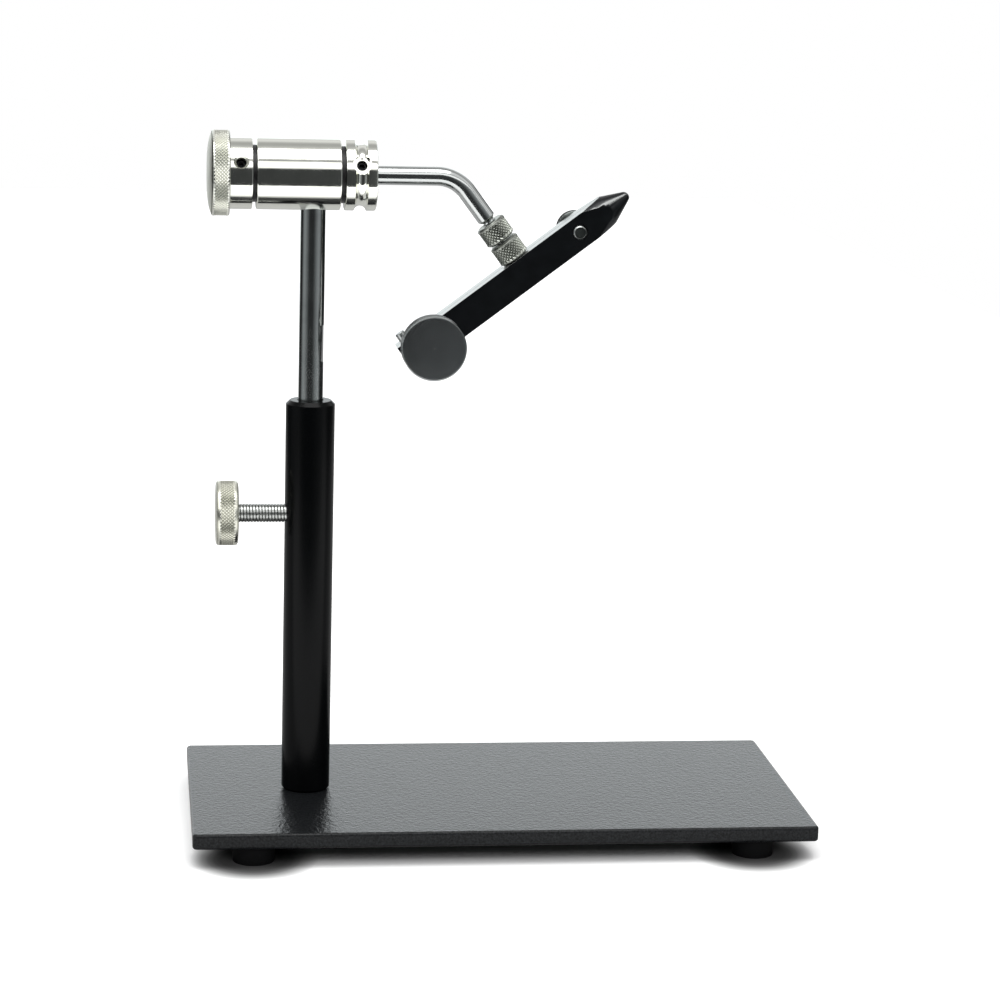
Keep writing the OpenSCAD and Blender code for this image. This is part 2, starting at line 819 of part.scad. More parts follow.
function spring_point(i) =
    let (a = 360 * i / spring_steps, s = i / (spring_turns * spring_steps))
    [spring_d / 2 * cos(a), spring_d / 2 * sin(a), spring_l * (s - 0.5)];

function spring_ring(i) =
    let (a = 360 * i / spring_steps, p = spring_point(i))
    [for (k = [0:spring_sides - 1])
        let (b = 360 * k / spring_sides)
        p + spring_wire / 2 * [cos(b) * cos(a), cos(b) * sin(a), sin(b)]];

module jaw_spring() {
    rings = spring_turns * spring_steps;
    n = spring_sides;
    points = [for (i = [0:rings]) each spring_ring(i)];
    sides = [for (i = [0:rings - 1], k = [0:n - 1], h = [0, 1])
        h == 0 ? [i * n + k, i * n + (k + 1) % n, (i + 1) * n + k]
               : [i * n + (k + 1) % n, (i + 1) * n + (k + 1) % n, (i + 1) * n + k]];
    ends = [[for (k = [n - 1:-1:0]) k], [for (k = [0:n - 1]) rings * n + k]];
    color("silver")
        at_jaws()
            translate([adjust_t, 0, 0])
                rotate([-90, 0, 0])
                    polyhedron(points, concat(sides, ends));
}

// Depth of the clamp screw's tip, and the brass tip's thickness beyond it
clamp_seat_y = -half_pair / 3;
clamp_tip_t = half_slit - face_gap - clamp_seat_y;

module clamp_screw() {
    color("#9a9c9b")
        at_jaws()
            translate([-clamp_back, clamp_seat_y - face_gap, 0])
                rotate([0, 0, 90])
                    thumb_screw(clamp_d, clamp_standoff + half_pair + clamp_seat_y - face_gap,
                                clamp_knob_d, clamp_knob_w, clamp_knob_bevel,
                                lock_tail_d, lock_tail_l);
}

module clamp_tip() {
    color("#b58a3c")
        at_jaws()
            translate([-clamp_back, clamp_seat_y, 0])
                rotate([0, 0, 90])
                    tip_plug(clamp_tip_d, clamp_tip_t, lock_tail_d, lock_tail_l - face_gap);
}

module keeper_pin() {
    color("#8a8c8b")
        at_jaws()
            translate([keeper_t, keeper_y, 0]) {
                translate([0, 0, -jaw_h / 2 + keeper_floor + fix_clear])
                    cylinder(d = keeper_d, h = jaw_h - keeper_floor + face_gap);
                translate([0, 0, jaw_h / 2 + face_gap])
                    turned(keeper_head_d, keeper_head_h, 0, keeper_d / 8);
            }
}

base_plate();
rubber_feet();
foot_screws();
stem_tube();
stem_screw();
height_screw();
height_screw_plug();
stem_rod();
head_barrel();
head_grub_screw();
rear_bush();
front_bush();
rear_thrust_washer();
front_thrust_washer();
handwheel();
handwheel_grub_screw();
drive_collar();
collar_grub_screw();
crank_arm();
upper_nut();
lower_nut();
near_jaw();
far_jaw();
adjusting_screw();
adjusting_washer();
jaw_spring();
clamp_screw();
clamp_tip();
keeper_pin();
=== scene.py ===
# %% [markdown]
# A rotary fly tying vise, dressed around its CAD frame.
# The real tool is turned, knurled and drilled metal on a powder-coated plate, so nearly all
# of it can be made as a machinist would: an outline is spun round an axis, and then the
# surface is knurled, threaded or bored. This first cell loads the measured frame, which
# fixes where each piece is.

# %% Load the frame
import json
import math
from collections import Counter

import bpy
from mathutils import Matrix, Vector


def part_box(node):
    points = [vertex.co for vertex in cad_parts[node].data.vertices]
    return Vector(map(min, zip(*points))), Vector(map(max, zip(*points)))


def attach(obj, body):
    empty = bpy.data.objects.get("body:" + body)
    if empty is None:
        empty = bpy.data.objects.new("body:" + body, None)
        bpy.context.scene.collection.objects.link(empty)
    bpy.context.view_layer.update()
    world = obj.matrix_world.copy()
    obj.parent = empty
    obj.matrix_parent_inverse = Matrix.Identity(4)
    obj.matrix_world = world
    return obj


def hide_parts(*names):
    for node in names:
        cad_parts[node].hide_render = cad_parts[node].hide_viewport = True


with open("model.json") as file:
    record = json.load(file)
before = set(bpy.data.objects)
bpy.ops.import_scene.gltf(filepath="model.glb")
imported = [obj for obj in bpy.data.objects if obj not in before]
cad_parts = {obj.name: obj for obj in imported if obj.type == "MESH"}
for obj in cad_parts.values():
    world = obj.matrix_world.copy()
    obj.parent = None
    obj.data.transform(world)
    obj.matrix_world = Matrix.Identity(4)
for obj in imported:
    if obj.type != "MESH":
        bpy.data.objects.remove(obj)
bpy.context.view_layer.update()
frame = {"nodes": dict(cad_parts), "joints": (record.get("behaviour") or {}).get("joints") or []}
nodes = frame["nodes"]
joints = {joint["name"]: joint for joint in frame["joints"]}
MM = 0.001

# %% [markdown]
# Three directions are used again and again. The head's parts turn about X. The jaws lean,
# and their knurled nuts turn about the arm's lower leg. The screws in the jaws point
# along Y. The joints of the frame say where these axes run.

# %% Axes of the object
ALONG_HEAD = Vector((1, 0, 0))
TO_BACK = Vector((0, 1, 0))
UP = Vector((0, 0, 1))
NUT_AXIS = Vector(joints["jaw_swivel"]["axis"]).normalized()
JAW_AXIS = TO_BACK.cross(NUT_AXIS).normalized()
head_centre = Vector(joints["rotary_turn"]["pos_m"])
stem_centre = Vector((head_centre.x, 0, 0))
jaw_centre = Vector(joints["jaw_swivel"]["pos_m"])
lock_place = Vector(joints["height_screw_turn"]["pos_m"])
clamp_place = Vector(joints["clamp_turn"]["pos_m"])
adjust_place = Vector(joints["adjusting_turn"]["pos_m"])


def in_jaws(along, back=0.0, across=0.0):
    """A point given in millimetres in the jaws' own frame"""
    return jaw_centre + MM * (along * JAW_AXIS + back * TO_BACK + across * NUT_AXIS)


print("jaws lean", round(math.degrees(math.asin(JAW_AXIS.z)), 1), "degrees")

# %% [markdown]
# The camera stands a little to the left of the object's middle and looks slightly down,
# as the catalogue picture does. A long lens from 0.9 m keeps the plate's edges almost
# parallel. The numbers come from fitting the plate's corners and the stem.

# %% Camera
CAMERA_TURN, CAMERA_DOWN = math.radians(7.435), math.radians(11.416)
CAMERA_ROLL = math.radians(1.561)
CAMERA_RIGHT, CAMERA_UP, CAMERA_DISTANCE = 92.978 * MM, 107.148 * MM, 895.514 * MM
LENS = 103.408
plate_low, plate_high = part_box("base_plate")
plate_corner = Vector((plate_low.x, plate_low.y, plate_high.z))

to_camera = Vector((-math.sin(CAMERA_TURN) * math.cos(CAMERA_DOWN),
                    -math.cos(CAMERA_TURN) * math.cos(CAMERA_DOWN),
                    math.sin(CAMERA_DOWN)))
right = (-to_camera).cross(UP).normalized()
upwards = right.cross(-to_camera)
rolled_right = math.cos(CAMERA_ROLL) * right + math.sin(CAMERA_ROLL) * upwards
rolled_up = -math.sin(CAMERA_ROLL) * right + math.cos(CAMERA_ROLL) * upwards

bpy.ops.object.camera_add()
camera = bpy.context.object
camera.matrix_world = (
    Matrix.Translation(plate_corner + CAMERA_RIGHT * right + CAMERA_UP * upwards
                       + CAMERA_DISTANCE * to_camera)
    @ Matrix((rolled_right, rolled_up, to_camera)).transposed().to_4x4())
camera.data.lens = LENS
camera.data.sensor_width = 36
camera.data.clip_start = 0.01
bpy.context.scene.camera = camera
print("camera at", [round(v, 3) for v in camera.location])

# %% [markdown]
# Polished metal shows the room more than itself. Here the room is dark behind the camera
# and pale to the left and right, with a dark strip before the bright sweep at the back. A
# wide soft light hangs above, with one narrow gap. The dark front draws the stripe along
# the head, and the pale walls draw the stripes down the rod. The camera sees plain white.

# %% Helpers for nodes and colours
def add_node(tree, kind, settings=None, inputs=None, stops=()):
    """Adds a node, sets its operation or other settings, fills its inputs or links them,
    from a node's first output where a node is given, and gives a ramp its stops of
    (place, colour), where the colour is a hex value or a plain brightness"""
    node = tree.nodes.new("ShaderNode" + kind)
    if isinstance(settings, str):
        settings = {"operation": settings}
    for key, value in (settings or {}).items():
        setattr(node, key, value)
    for key, value in (inputs or {}).items():
        if isinstance(value, bpy.types.Node):
            value = value.outputs[0]
        if isinstance(value, bpy.types.NodeSocket):
            tree.links.new(value, node.inputs[key])
        else:
            node.inputs[key].default_value = value
    if stops:
        elements = node.color_ramp.elements
        while len(elements) < len(stops):
            elements.new(0.5)
        for element, (place, colour) in zip(elements, stops):
            element.position = place
            element.color = linear(colour) if isinstance(colour, str) else (colour,) * 3 + (1,)
    return node


def linear(hex_colour):
    """An sRGB colour such as #c0c0b8 as linear RGBA"""
    values = [int(hex_colour[i:i + 2], 16) / 255 for i in (1, 3, 5)]
    return tuple(v / 12.92 if v < 0.04045 else ((v + 0.055) / 1.055) ** 2.4
                 for v in values) + (1.0,)


def round_light(tree, part, front, stops):
    """Brightness of the room by the angle from the front, -180 to 180 degrees"""
    turn = add_node(tree, "Math", "ARCTAN2", {0: part, 1: front})
    share = add_node(tree, "Math", "MULTIPLY_ADD", {0: turn, 1: 0.5 / math.pi, 2: 0.5})
    return add_node(tree, "ValToRGB", inputs={"Fac": share.outputs[0]},
                    stops=[((180 + degrees) / 360, light) for degrees, light in stops]
                    ).outputs["Color"]


# %% World
world = bpy.data.worlds.new("studio")
bpy.context.scene.world = world
world.use_nodes = True
sky = world.node_tree
sky.nodes.clear()
sky_way = add_node(sky, "TexCoord").outputs["Generated"]
sky_parts = add_node(sky, "SeparateXYZ", inputs={0: sky_way}).outputs
to_front = add_node(sky, "Math", "MULTIPLY", {0: sky_parts["Y"], 1: -1.0})
WALL_TURN = math.radians(12)
WALL_TOP, CEILING_FOOT = 0.33, 0.45
COOL_PAINT = (0.975, 1.03, 1.05, 1)
darkest = (-math.sin(WALL_TURN), -math.cos(WALL_TURN), 0)
beside = (math.cos(WALL_TURN), -math.sin(WALL_TURN), 0)
turned_y = add_node(sky, "VectorMath", "DOT_PRODUCT", {0: sky_way, 1: darkest})
turned_x = add_node(sky, "VectorMath", "DOT_PRODUCT", {0: sky_way, 1: beside})
walls = round_light(sky, turned_x.outputs["Value"], turned_y.outputs["Value"], [
    (-180, 1.3), (-142, 1.3), (-130, 0.02), (-104, 0.02), (-92, 0.1), (-81, 0.31),
    (-71, 0.39), (-60, 0.37), (-50, 0.29), (-40, 0.21), (-31, 0.14), (-22, 0.06),
    (-13, 0.043), (13, 0.043), (22, 0.064), (31, 0.14), (40, 0.21), (50, 0.29), (60, 0.37),
    (71, 0.39), (81, 0.31), (92, 0.1), (104, 0.02), (163, 0.02), (170, 1.3), (180, 1.3)])
cool_walls = add_node(sky, "Mix", {"data_type": "RGBA", "blend_type": "MULTIPLY"},
                      {0: 1.0, 6: walls, 7: COOL_PAINT})
ceiling = round_light(sky, sky_parts["Z"], to_front, [
    (0, 1.7), (42.5, 1.7), (46, 0.33), (49.5, 0.33), (54, 1.0), (87, 1.0), (97, 0.62),
    (105, 0.46), (114, 0.42), (119, 0.44), (125, 0.56), (131, 0.76), (140, 0.82),
    (150, 0.76), (160, 0.55), (175, 0.5)])
above = add_node(sky, "MapRange", {"interpolation_type": "SMOOTHSTEP"},
                 {"Value": sky_parts["Z"], "From Min": WALL_TOP, "From Max": CEILING_FOOT})
room = add_node(sky, "Mix", {"data_type": "RGBA"},
                {0: above, 6: cool_walls.outputs[2], 7: ceiling})
camera_ray = add_node(sky, "LightPath").outputs["Is Camera Ray"]
seen_room = add_node(sky, "Mix", {"data_type": "RGBA"},
                     {0: camera_ray, 6: room.outputs[2], 7: (1, 1, 1, 1)})
sky_light = add_node(sky, "Background",
                     inputs={"Color": seen_room.outputs[2], "Strength": 1.0})
add_node(sky, "OutputWorld", inputs={"Surface": sky_light})

# %% Floor
FLOOR_SIZE = (1.1, 2.5, 1)
FLOOR_BACK = 0.93
bpy.ops.mesh.primitive_plane_add(size=1)
floor = bpy.context.object
floor.name = "studio_floor"
bpy.ops.object.mode_set(mode="EDIT")
bpy.ops.transform.resize(value=FLOOR_SIZE)
bpy.ops.transform.translate(value=(0.0, FLOOR_BACK, 0.0))
bpy.ops.object.mode_set(mode="OBJECT")

# %% [markdown]
# The sweep is white paper. It glows a little where the camera sees it, as an overexposed
# background does. Near the plate the glow fades and the paper darkens, which leaves a soft
# shadow under the plate and round its front feet. Places are folded into one quarter of
# the plate, so that one pattern serves all its sides. Mirrors see the paper dimmed, apart
# from the part in front of the plate.

# %% Paper of the floor
paper = bpy.data.materials.new("white_paper_sweep")
paper.use_nodes = True
sheet = paper.node_tree
sheet.nodes.clear()
FLOOR_GREY, MIRRORED_LOSS = 0.93, 0.45
FRONT_NEAR, FRONT_FAR = 10 * MM, 40 * MM
SHADOW_EDGE, FOOT_R = 24 * MM, 7 * MM
GLOW_REACH, PLATE_REACH, FOOT_REACH = 0.6, 0.02, 0.026
paper_ray = add_node(sheet, "LightPath")
paper_place = add_node(sheet, "TexCoord").outputs["Object"]
paper_y = add_node(sheet, "SeparateXYZ", inputs={0: paper_place}).outputs["Y"]
in_front = add_node(sheet, "MapRange", {"interpolation_type": "SMOOTHSTEP"},
                    {"Value": paper_y, "From Min": plate_low.y - FRONT_NEAR,
                     "From Max": plate_low.y - FRONT_FAR})
glossy = paper_ray.outputs["Is Glossy Ray"]
front_gloss = add_node(sheet, "Math", "MULTIPLY", {0: in_front, 1: glossy})
other_gloss = add_node(sheet, "Math", "SUBTRACT", {0: glossy, 1: front_gloss})
dimmed = add_node(sheet, "Math", "MULTIPLY_ADD", {0: other_gloss, 1: -MIRRORED_LOSS, 2: 1.0})
seen = add_node(sheet, "Math", "MAXIMUM",
                {0: paper_ray.outputs["Is Camera Ray"], 1: front_gloss})
folded = add_node(sheet, "VectorMath", "ABSOLUTE", {0: paper_place})


def paper_distance(place, corner, reach, stops, from_edge):
    """Brightness by the distance of a place from a corner of the plate or a foot"""
    past = add_node(sheet, "VectorMath", "SUBTRACT", {0: place, 1: (corner.x, corner.y, 0)})
    if from_edge:
        past = add_node(sheet, "VectorMath", "MAXIMUM", {0: past, 1: (0, 0, 0)})
    length = add_node(sheet, "VectorMath", "LENGTH", {0: past})
    share = add_node(sheet, "Math", "DIVIDE", {0: length.outputs["Value"], 1: reach})
    return add_node(sheet, "ValToRGB", inputs={"Fac": share.outputs[0]},
                    stops=[(far / reach, light) for far, light in stops]).outputs["Color"]


feet_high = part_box("rubber_feet")[1]
foot_centre = feet_high - Vector((FOOT_R, FOOT_R, 0))
shadow_corner = plate_high - Vector((SHADOW_EDGE, SHADOW_EDGE, 0))
folded_parts = add_node(sheet, "SeparateXYZ", inputs={0: folded})
from_back = add_node(sheet, "Math", "MULTIPLY", {0: paper_y, 1: -1.0})
half_folded = add_node(sheet, "CombineXYZ",
                       inputs={0: folded_parts.outputs["X"], 1: from_back})
glow = paper_distance(folded, shadow_corner, GLOW_REACH, [
    (0, 0), (0.012, 0.005), (0.0143, 0.015), (0.0163, 0.06), (0.0184, 0.16), (0.0205, 0.2),
    (0.024, 0.2), (0.06, 0.3), (0.12, 0.36), (0.3, 0.6)], True)
plate_shade = paper_distance(folded, shadow_corner, PLATE_REACH, [
    (0, 0.55), (0.008, 0.6), (0.011, 1)], True)
foot_shade = paper_distance(half_folded, foot_centre, FOOT_REACH, [
    (0, 0.06), (0.0085, 0.06), (0.0105, 0.065), (0.0125, 0.1), (0.0145, 0.2), (0.0165, 0.4),
    (0.0185, 0.65), (0.0205, 0.93), (0.022, 1)], False)
shade = add_node(sheet, "Math", "MULTIPLY", {0: plate_shade, 1: foot_shade})
shade = add_node(sheet, "Math", "MULTIPLY", {0: shade, 1: dimmed})
shown = add_node(sheet, "Math", "MULTIPLY", {0: seen, 1: shade})
lift = add_node(sheet, "Math", "MULTIPLY", {0: shown, 1: glow})
paper_glow = add_node(sheet, "Emission", inputs={"Strength": lift})
grey = add_node(sheet, "Math", "MULTIPLY", {0: shade, 1: FLOOR_GREY})
paper_face = add_node(sheet, "BsdfDiffuse", inputs={"Color": grey})
paper_both = add_node(sheet, "AddShader", inputs={0: paper_face, 1: paper_glow})
add_node(sheet, "OutputMaterial", inputs={"Surface": paper_both})
floor.data.materials.append(paper)


# %% Lamps
def soft_lamp(name, place, target, size, size_y, watts):
    """A rectangular area lamp that faces a point"""
    bpy.ops.object.light_add(type="AREA", location=place)
    lamp = bpy.context.object
    lamp.name = name
    lamp.data.shape = "RECTANGLE"
    lamp.data.size = size
    lamp.data.size_y = size_y
    lamp.data.energy = watts
    way = Vector(place) - Vector(target)
    lamp.rotation_euler = way.to_track_quat("Z", "Y").to_euler()
    return lamp


MIDDLE = (0.0, 0.0, 0.12)
soft_lamp("overhead_softbox", (-0.12, -0.36, 1.25), (-0.12, -0.36, 0), 1.1, 0.74, 9.0)
soft_lamp("front_left_softbox", (-0.95, -0.85, 0.95), MIDDLE, 0.8, 0.8, 1.5)

# %% [markdown]
# Each finish starts from what the metal is and how its face was made. A lathe leaves fine
# rings that run round the axis, so a turned finish is a bump that changes along the axis
# and with the radius, and is the same all the way round.

# %% Finishes
def new_finish(name, colour, metallic, roughness, slot):
    """A material of a slot, its shader, and the coordinates that its patterns follow"""
    material = bpy.data.materials.new(name)
    material.use_nodes = True
    shader = material.node_tree.nodes["Principled BSDF"]
    shader.inputs["Base Color"].default_value = linear(colour)
    shader.inputs["Metallic"].default_value = metallic
    shader.inputs["Roughness"].default_value = roughness
    material["slot"] = slot
    here = add_node(material.node_tree, "TexCoord").outputs["Object"]
    return material, material.node_tree, shader, here


def wire_finish(tree, shader, tone, height, depth_mm):
    """Joins a finish's tone and its height pattern, at its real depth, to the shader"""
    relief = add_node(tree, "Bump", inputs={
        "Strength": 1.0, "Distance": depth_mm * MM, "Height": height})
    tree.links.new(tone, shader.inputs["Base Color"])
    for socket in ("Normal", "Coat Normal"):
        tree.links.new(relief.outputs["Normal"], shader.inputs[socket])


KNOB_PITCH, KNOB_DEPTH = 1.1, 0.25
NUT_PITCH, NUT_DEPTH = 1.3, 0.4
STAIN_MM = 6


def knurl_valley_shade(top, depth, valley_shade):
    """Painted shade: a knurl's valleys are darker than its crests, which is what makes it show
    """
    return [(top - depth - 0.1, "#ffffff"), (top - depth, valley_shade),
            (top - depth * 0.3, "#ffffff")]


def turned_finish(name, colour, roughness, slot, centre, axis, ring_mm=0.35, depth_mm=0.004,
                  dark="#8f918e", wear=0.3, tone_and_shade_by_radius=None):
    """Lathe-turned metal whose rings run round an axis through a point, with tones by the
    distance in millimetres from that axis, which paint shade into knurl valleys, thread
    roots and the dome's edge and give the adjusting screw its rings"""
    material, tree, shader, here = new_finish(name, colour, 1.0, roughness, slot)
    turn = axis.to_track_quat("Z", "Y").to_euler()
    local = add_node(tree, "Mapping", {"vector_type": "TEXTURE"},
                     {"Vector": here, "Location": centre, "Rotation": turn})
    parts = add_node(tree, "SeparateXYZ", inputs={0: local})
    flat = add_node(tree, "CombineXYZ", inputs={0: parts.outputs["X"], 1: parts.outputs["Y"]})
    radius = add_node(tree, "VectorMath", "LENGTH", {0: flat})
    rings = []
    for place in (parts.outputs["Z"], radius.outputs["Value"]):
        rings.append(add_node(tree, "TexNoise", {"noise_dimensions": "1D"},
                              {"W": place, "Scale": 1 / (ring_mm * MM), "Detail": 3.0}))
    height = add_node(tree, "Math", "ADD",
                      {0: rings[0].outputs["Fac"], 1: rings[1].outputs["Fac"]})
    stain = add_node(tree, "TexNoise", inputs={
        "Vector": here, "Scale": 1 / (STAIN_MM * MM), "Detail": 4.0})
    worn = add_node(tree, "MapRange", inputs={
        "Value": stain.outputs["Fac"], "From Min": 0.35, "From Max": 0.7,
        "To Min": roughness * (1 - wear), "To Max": roughness * (1 + wear)})
    tree.links.new(worn.outputs[0], shader.inputs["Roughness"])
    tone = add_node(tree, "ValToRGB", inputs={"Fac": stain.outputs["Fac"]},
                    stops=[(0.2, dark), (0.45, colour)]).outputs["Color"]
    # Tones by the distance from the axis, which paint shade into knurl valleys, thread roots and
    # the dome's edge
    if tone_and_shade_by_radius:
        whole = tone_and_shade_by_radius[-1][0] * 1.1
        share = add_node(tree, "Math", "DIVIDE", {0: radius.outputs["Value"], 1: whole * MM})
        radius_tone_and_shade = add_node(tree, "ValToRGB", inputs={"Fac": share},
                              stops=[(place / whole, shade) for place, shade in tone_and_shade_by_radius])
        tone = add_node(tree, "Mix", {"data_type": "RGBA", "blend_type": "MULTIPLY"},
                        {0: 1.0, 6: tone, 7: radius_tone_and_shade.outputs["Color"]}).outputs[2]
    wire_finish(tree, shader, tone, height.outputs[0], depth_mm)
    return material


def grained_finish(name, colour, light, roughness, slot, grain_mm, depth_mm, metallic=0.0,
                   speckle_mm=14):
    """A moulded, coated or blackened face with a fine random grain and cloudy tones"""
    material, tree, shader, here = new_finish(name, colour, metallic, roughness, slot)
    grain, cloud = (add_node(tree, "TexNoise", inputs={
        "Vector": here, "Scale": 1 / (size_mm * MM), "Detail": 3.0})
        for size_mm in (grain_mm, speckle_mm))
    tone = add_node(tree, "ValToRGB", inputs={"Fac": cloud.outputs["Fac"]},
                    stops=[(0.3, colour), (0.75, light)])
    wire_finish(tree, shader, tone.outputs["Color"], grain.outputs["Fac"], depth_mm)
    return material


# %% [markdown]
# The dark finishes are sprayed, moulded or blackened. Their grain is worked out from real
# sizes. The powder coat's grain of about 0.5 mm would vanish in the picture, so it is drawn
# at 1 mm. Its clear top skin mirrors the room at low angles and makes the plate look grey.

# %% Coated, moulded and blackened finishes
# Sprayed and baked powder gives a fine orange peel with pale specks
powder_coat = grained_finish("black_powder_coat", "#08090a", "#222426", 0.3, "plate",
                             1.0, 0.2, speckle_mm=0.6)
# Stoved enamel gives a deep black with one soft sheen down each side
gloss_black = grained_finish("black_gloss_enamel", "#030405", "#060708", 0.2, "black_tube",
                             2.5, 0.004)
# Oiled black oxide gives a near black that still shines like metal
black_oxide = grained_finish("black_oxide_steel", "#0b0d10", "#14171a", 0.34, "black_oxide",
                             0.5, 0.006, 0.5)
# Moulded rubber gives a flat black without highlights
black_rubber = grained_finish("black_rubber", "#08080a", "#0e0e10", 0.75, "rubber",
                              0.7, 0.05)
for material, level, coat_level in ((powder_coat, 0.05, 1.0), (gloss_black, 0.1, 0.0),
                                    (black_rubber, 0.2, 0.0)):
    socket = material.node_tree.nodes["Principled BSDF"].inputs
    socket["Specular IOR Level"].default_value = level
    socket["Coat Weight"].default_value = coat_level
    socket["Coat Roughness"].default_value = 0.2
    socket["Coat IOR"].default_value = 1.25
# Turned acetal gives a dark, even satin
black_acetal = grained_finish("black_acetal", "#0e0e10", "#141417", 0.45, "black_plastic",
                              0.6, 0.01)
# Natural nylon gives a creamy, dull white
nylon = grained_finish("natural_nylon", "#dcd8c8", "#e8e4d6", 0.5, "nylon", 0.5, 0.01)
# Zinc plate gives a pale grey shine with faint clouds
zinc_plate = grained_finish("zinc_plated_steel", "#a9acac", "#bcbfbe", 0.3, "zinc_steel",
                            0.8, 0.006, 1.0)

# %% [markdown]
# The bright finishes were turned, ground or plated. Their rings are 0.3 to 0.8 mm apart,
# which is coarser than a lathe leaves them, because finer ones wouldn't show.

# %% Turned and ground finishes
# Polished turned steel gives hard-edged mirror bands along the head
polished_head = turned_finish("polished_turned_steel", "#eff0e8", 0.10, "polished_steel",
                              head_centre, ALONG_HEAD, 0.4, 0.002, dark="#e6e7de")
# Nickel over a knurl gives a warm, pale sparkle, and painted shade darkens its valleys
wheel_nickel = turned_finish("wheel_nickel_plate", "#f2f3ea", 0.32, "knurled_steel",
                             head_centre, ALONG_HEAD, 0.3, 0.003, "#dcdcd0",
                             tone_and_shade_by_radius=knurl_valley_shade(13.5, KNOB_DEPTH, "#b4b4ac"))
knob_nickel = turned_finish("knob_nickel_plate", "#e6e6da", 0.34, "knurled_steel",
                            lock_place, ALONG_HEAD, 0.3, 0.003, "#cfcfc3",
                            tone_and_shade_by_radius=knurl_valley_shade(10.5, KNOB_DEPTH, "#a8a8a0"))
# Satin nickel gives the wheel's dome a soft glow, and a thin line of painted shade darkens its
# edge
satin_nickel = turned_finish("satin_nickel_face", "#e8e8de", 0.5, "knurled_steel",
                             head_centre, ALONG_HEAD, 0.6, 0.006, "#dcdcd2", 0.1,
                             tone_and_shade_by_radius=[(12.5, "#ffffff"), (12.9, "#77776f"),
                                        (13.3, "#77776f")])
# A rolled thread with bright crests, and painted shade darkens its roots
thread_steel = turned_finish("threaded_plain_steel", "#b8bab8", 0.28, "knurled_steel",
                             lock_place, ALONG_HEAD, 0.3, 0.002, "#a8aaa8",
                             tone_and_shade_by_radius=[(2.7, "#b4b6b4"), (2.9, "#ffffff")])
# Plain knurled steel is greyer than nickel, with more contrast, and painted shade darkens its
# valleys
knurled_nut_steel = turned_finish("knurled_plain_steel", "#a9aca5", 0.42, "knurled_steel",
                                  jaw_centre, NUT_AXIS, 0.3, 0.003, "#92958e",
                                  tone_and_shade_by_radius=knurl_valley_shade(5.0, NUT_DEPTH, "#8c8e88"))
# A flat turned face gives one even grey from the dark room in front of it
# Painted shade darkens the valleys of its knurled rim
turned_clamp = turned_finish("turned_clamp_steel", "#a3a7a8", 0.24, "knurled_steel",
                             clamp_place, TO_BACK, 0.5, 0.007, "#9da1a2", 0.04,
                             tone_and_shade_by_radius=knurl_valley_shade(10.3, KNOB_DEPTH, "#a0a098"))
# The adjusting screw was oiled black. Its bevelled end shows a bright ring, and painted shade
# darkens the valleys of its knurled head
SCREW_TONES = [(1.6, "#7c7f7e"), (1.72, "#262827"), (1.85, "#ffffff"), (2.6, "#ffffff"),
               (2.75, "#4a4d4c"), (5.4, "#4a4d4c"), (5.8, "#8a8c8b")]
dark_screw = turned_finish("oiled_black_steel", "#b8bcba", 0.34, "black_oxide",
                           adjust_place, TO_BACK, 0.3, 0.004, "#a6aaa8",
                           tone_and_shade_by_radius=SCREW_TONES)
# Bearing bronze gives a dull brown gold
bronze = turned_finish("plain_bearing_bronze", "#b08a58", 0.3, "bronze", head_centre,
                       ALONG_HEAD)
# Centreless grinding gives clean stripes down the rod and round the arm
ground_rod = turned_finish("centreless_ground_steel", "#b4b7b6", 0.14, "ground_steel",
                           stem_centre, UP, 0.5, 0.002, dark="#a6a9a8")
ground_arm = turned_finish("ground_arm_steel", "#c0c3c2", 0.14, "ground_steel",
                           head_centre, ALONG_HEAD, 0.8, 0.001, dark="#b4b7b6")

# %% [markdown]
# The jaws were blackened all over and then ground bright along the top edge. Height above
# the jaws' middle says which is which. A little noise moves that border, as wear does. The
# cone carries a painted highlight, one narrow bright band where its normal points up and to
# the front. The angle of that normal round the jaws' axis gives the band.

# %% Two-tone jaw finish
HIGHLIGHT_TURN = math.radians(60)
HIGHLIGHT_HALF = math.radians(10)
HIGHLIGHT_SHARE = 0.35
GROUND_ABOVE = (4.9, 4.99)
ON_CONE = 0.1


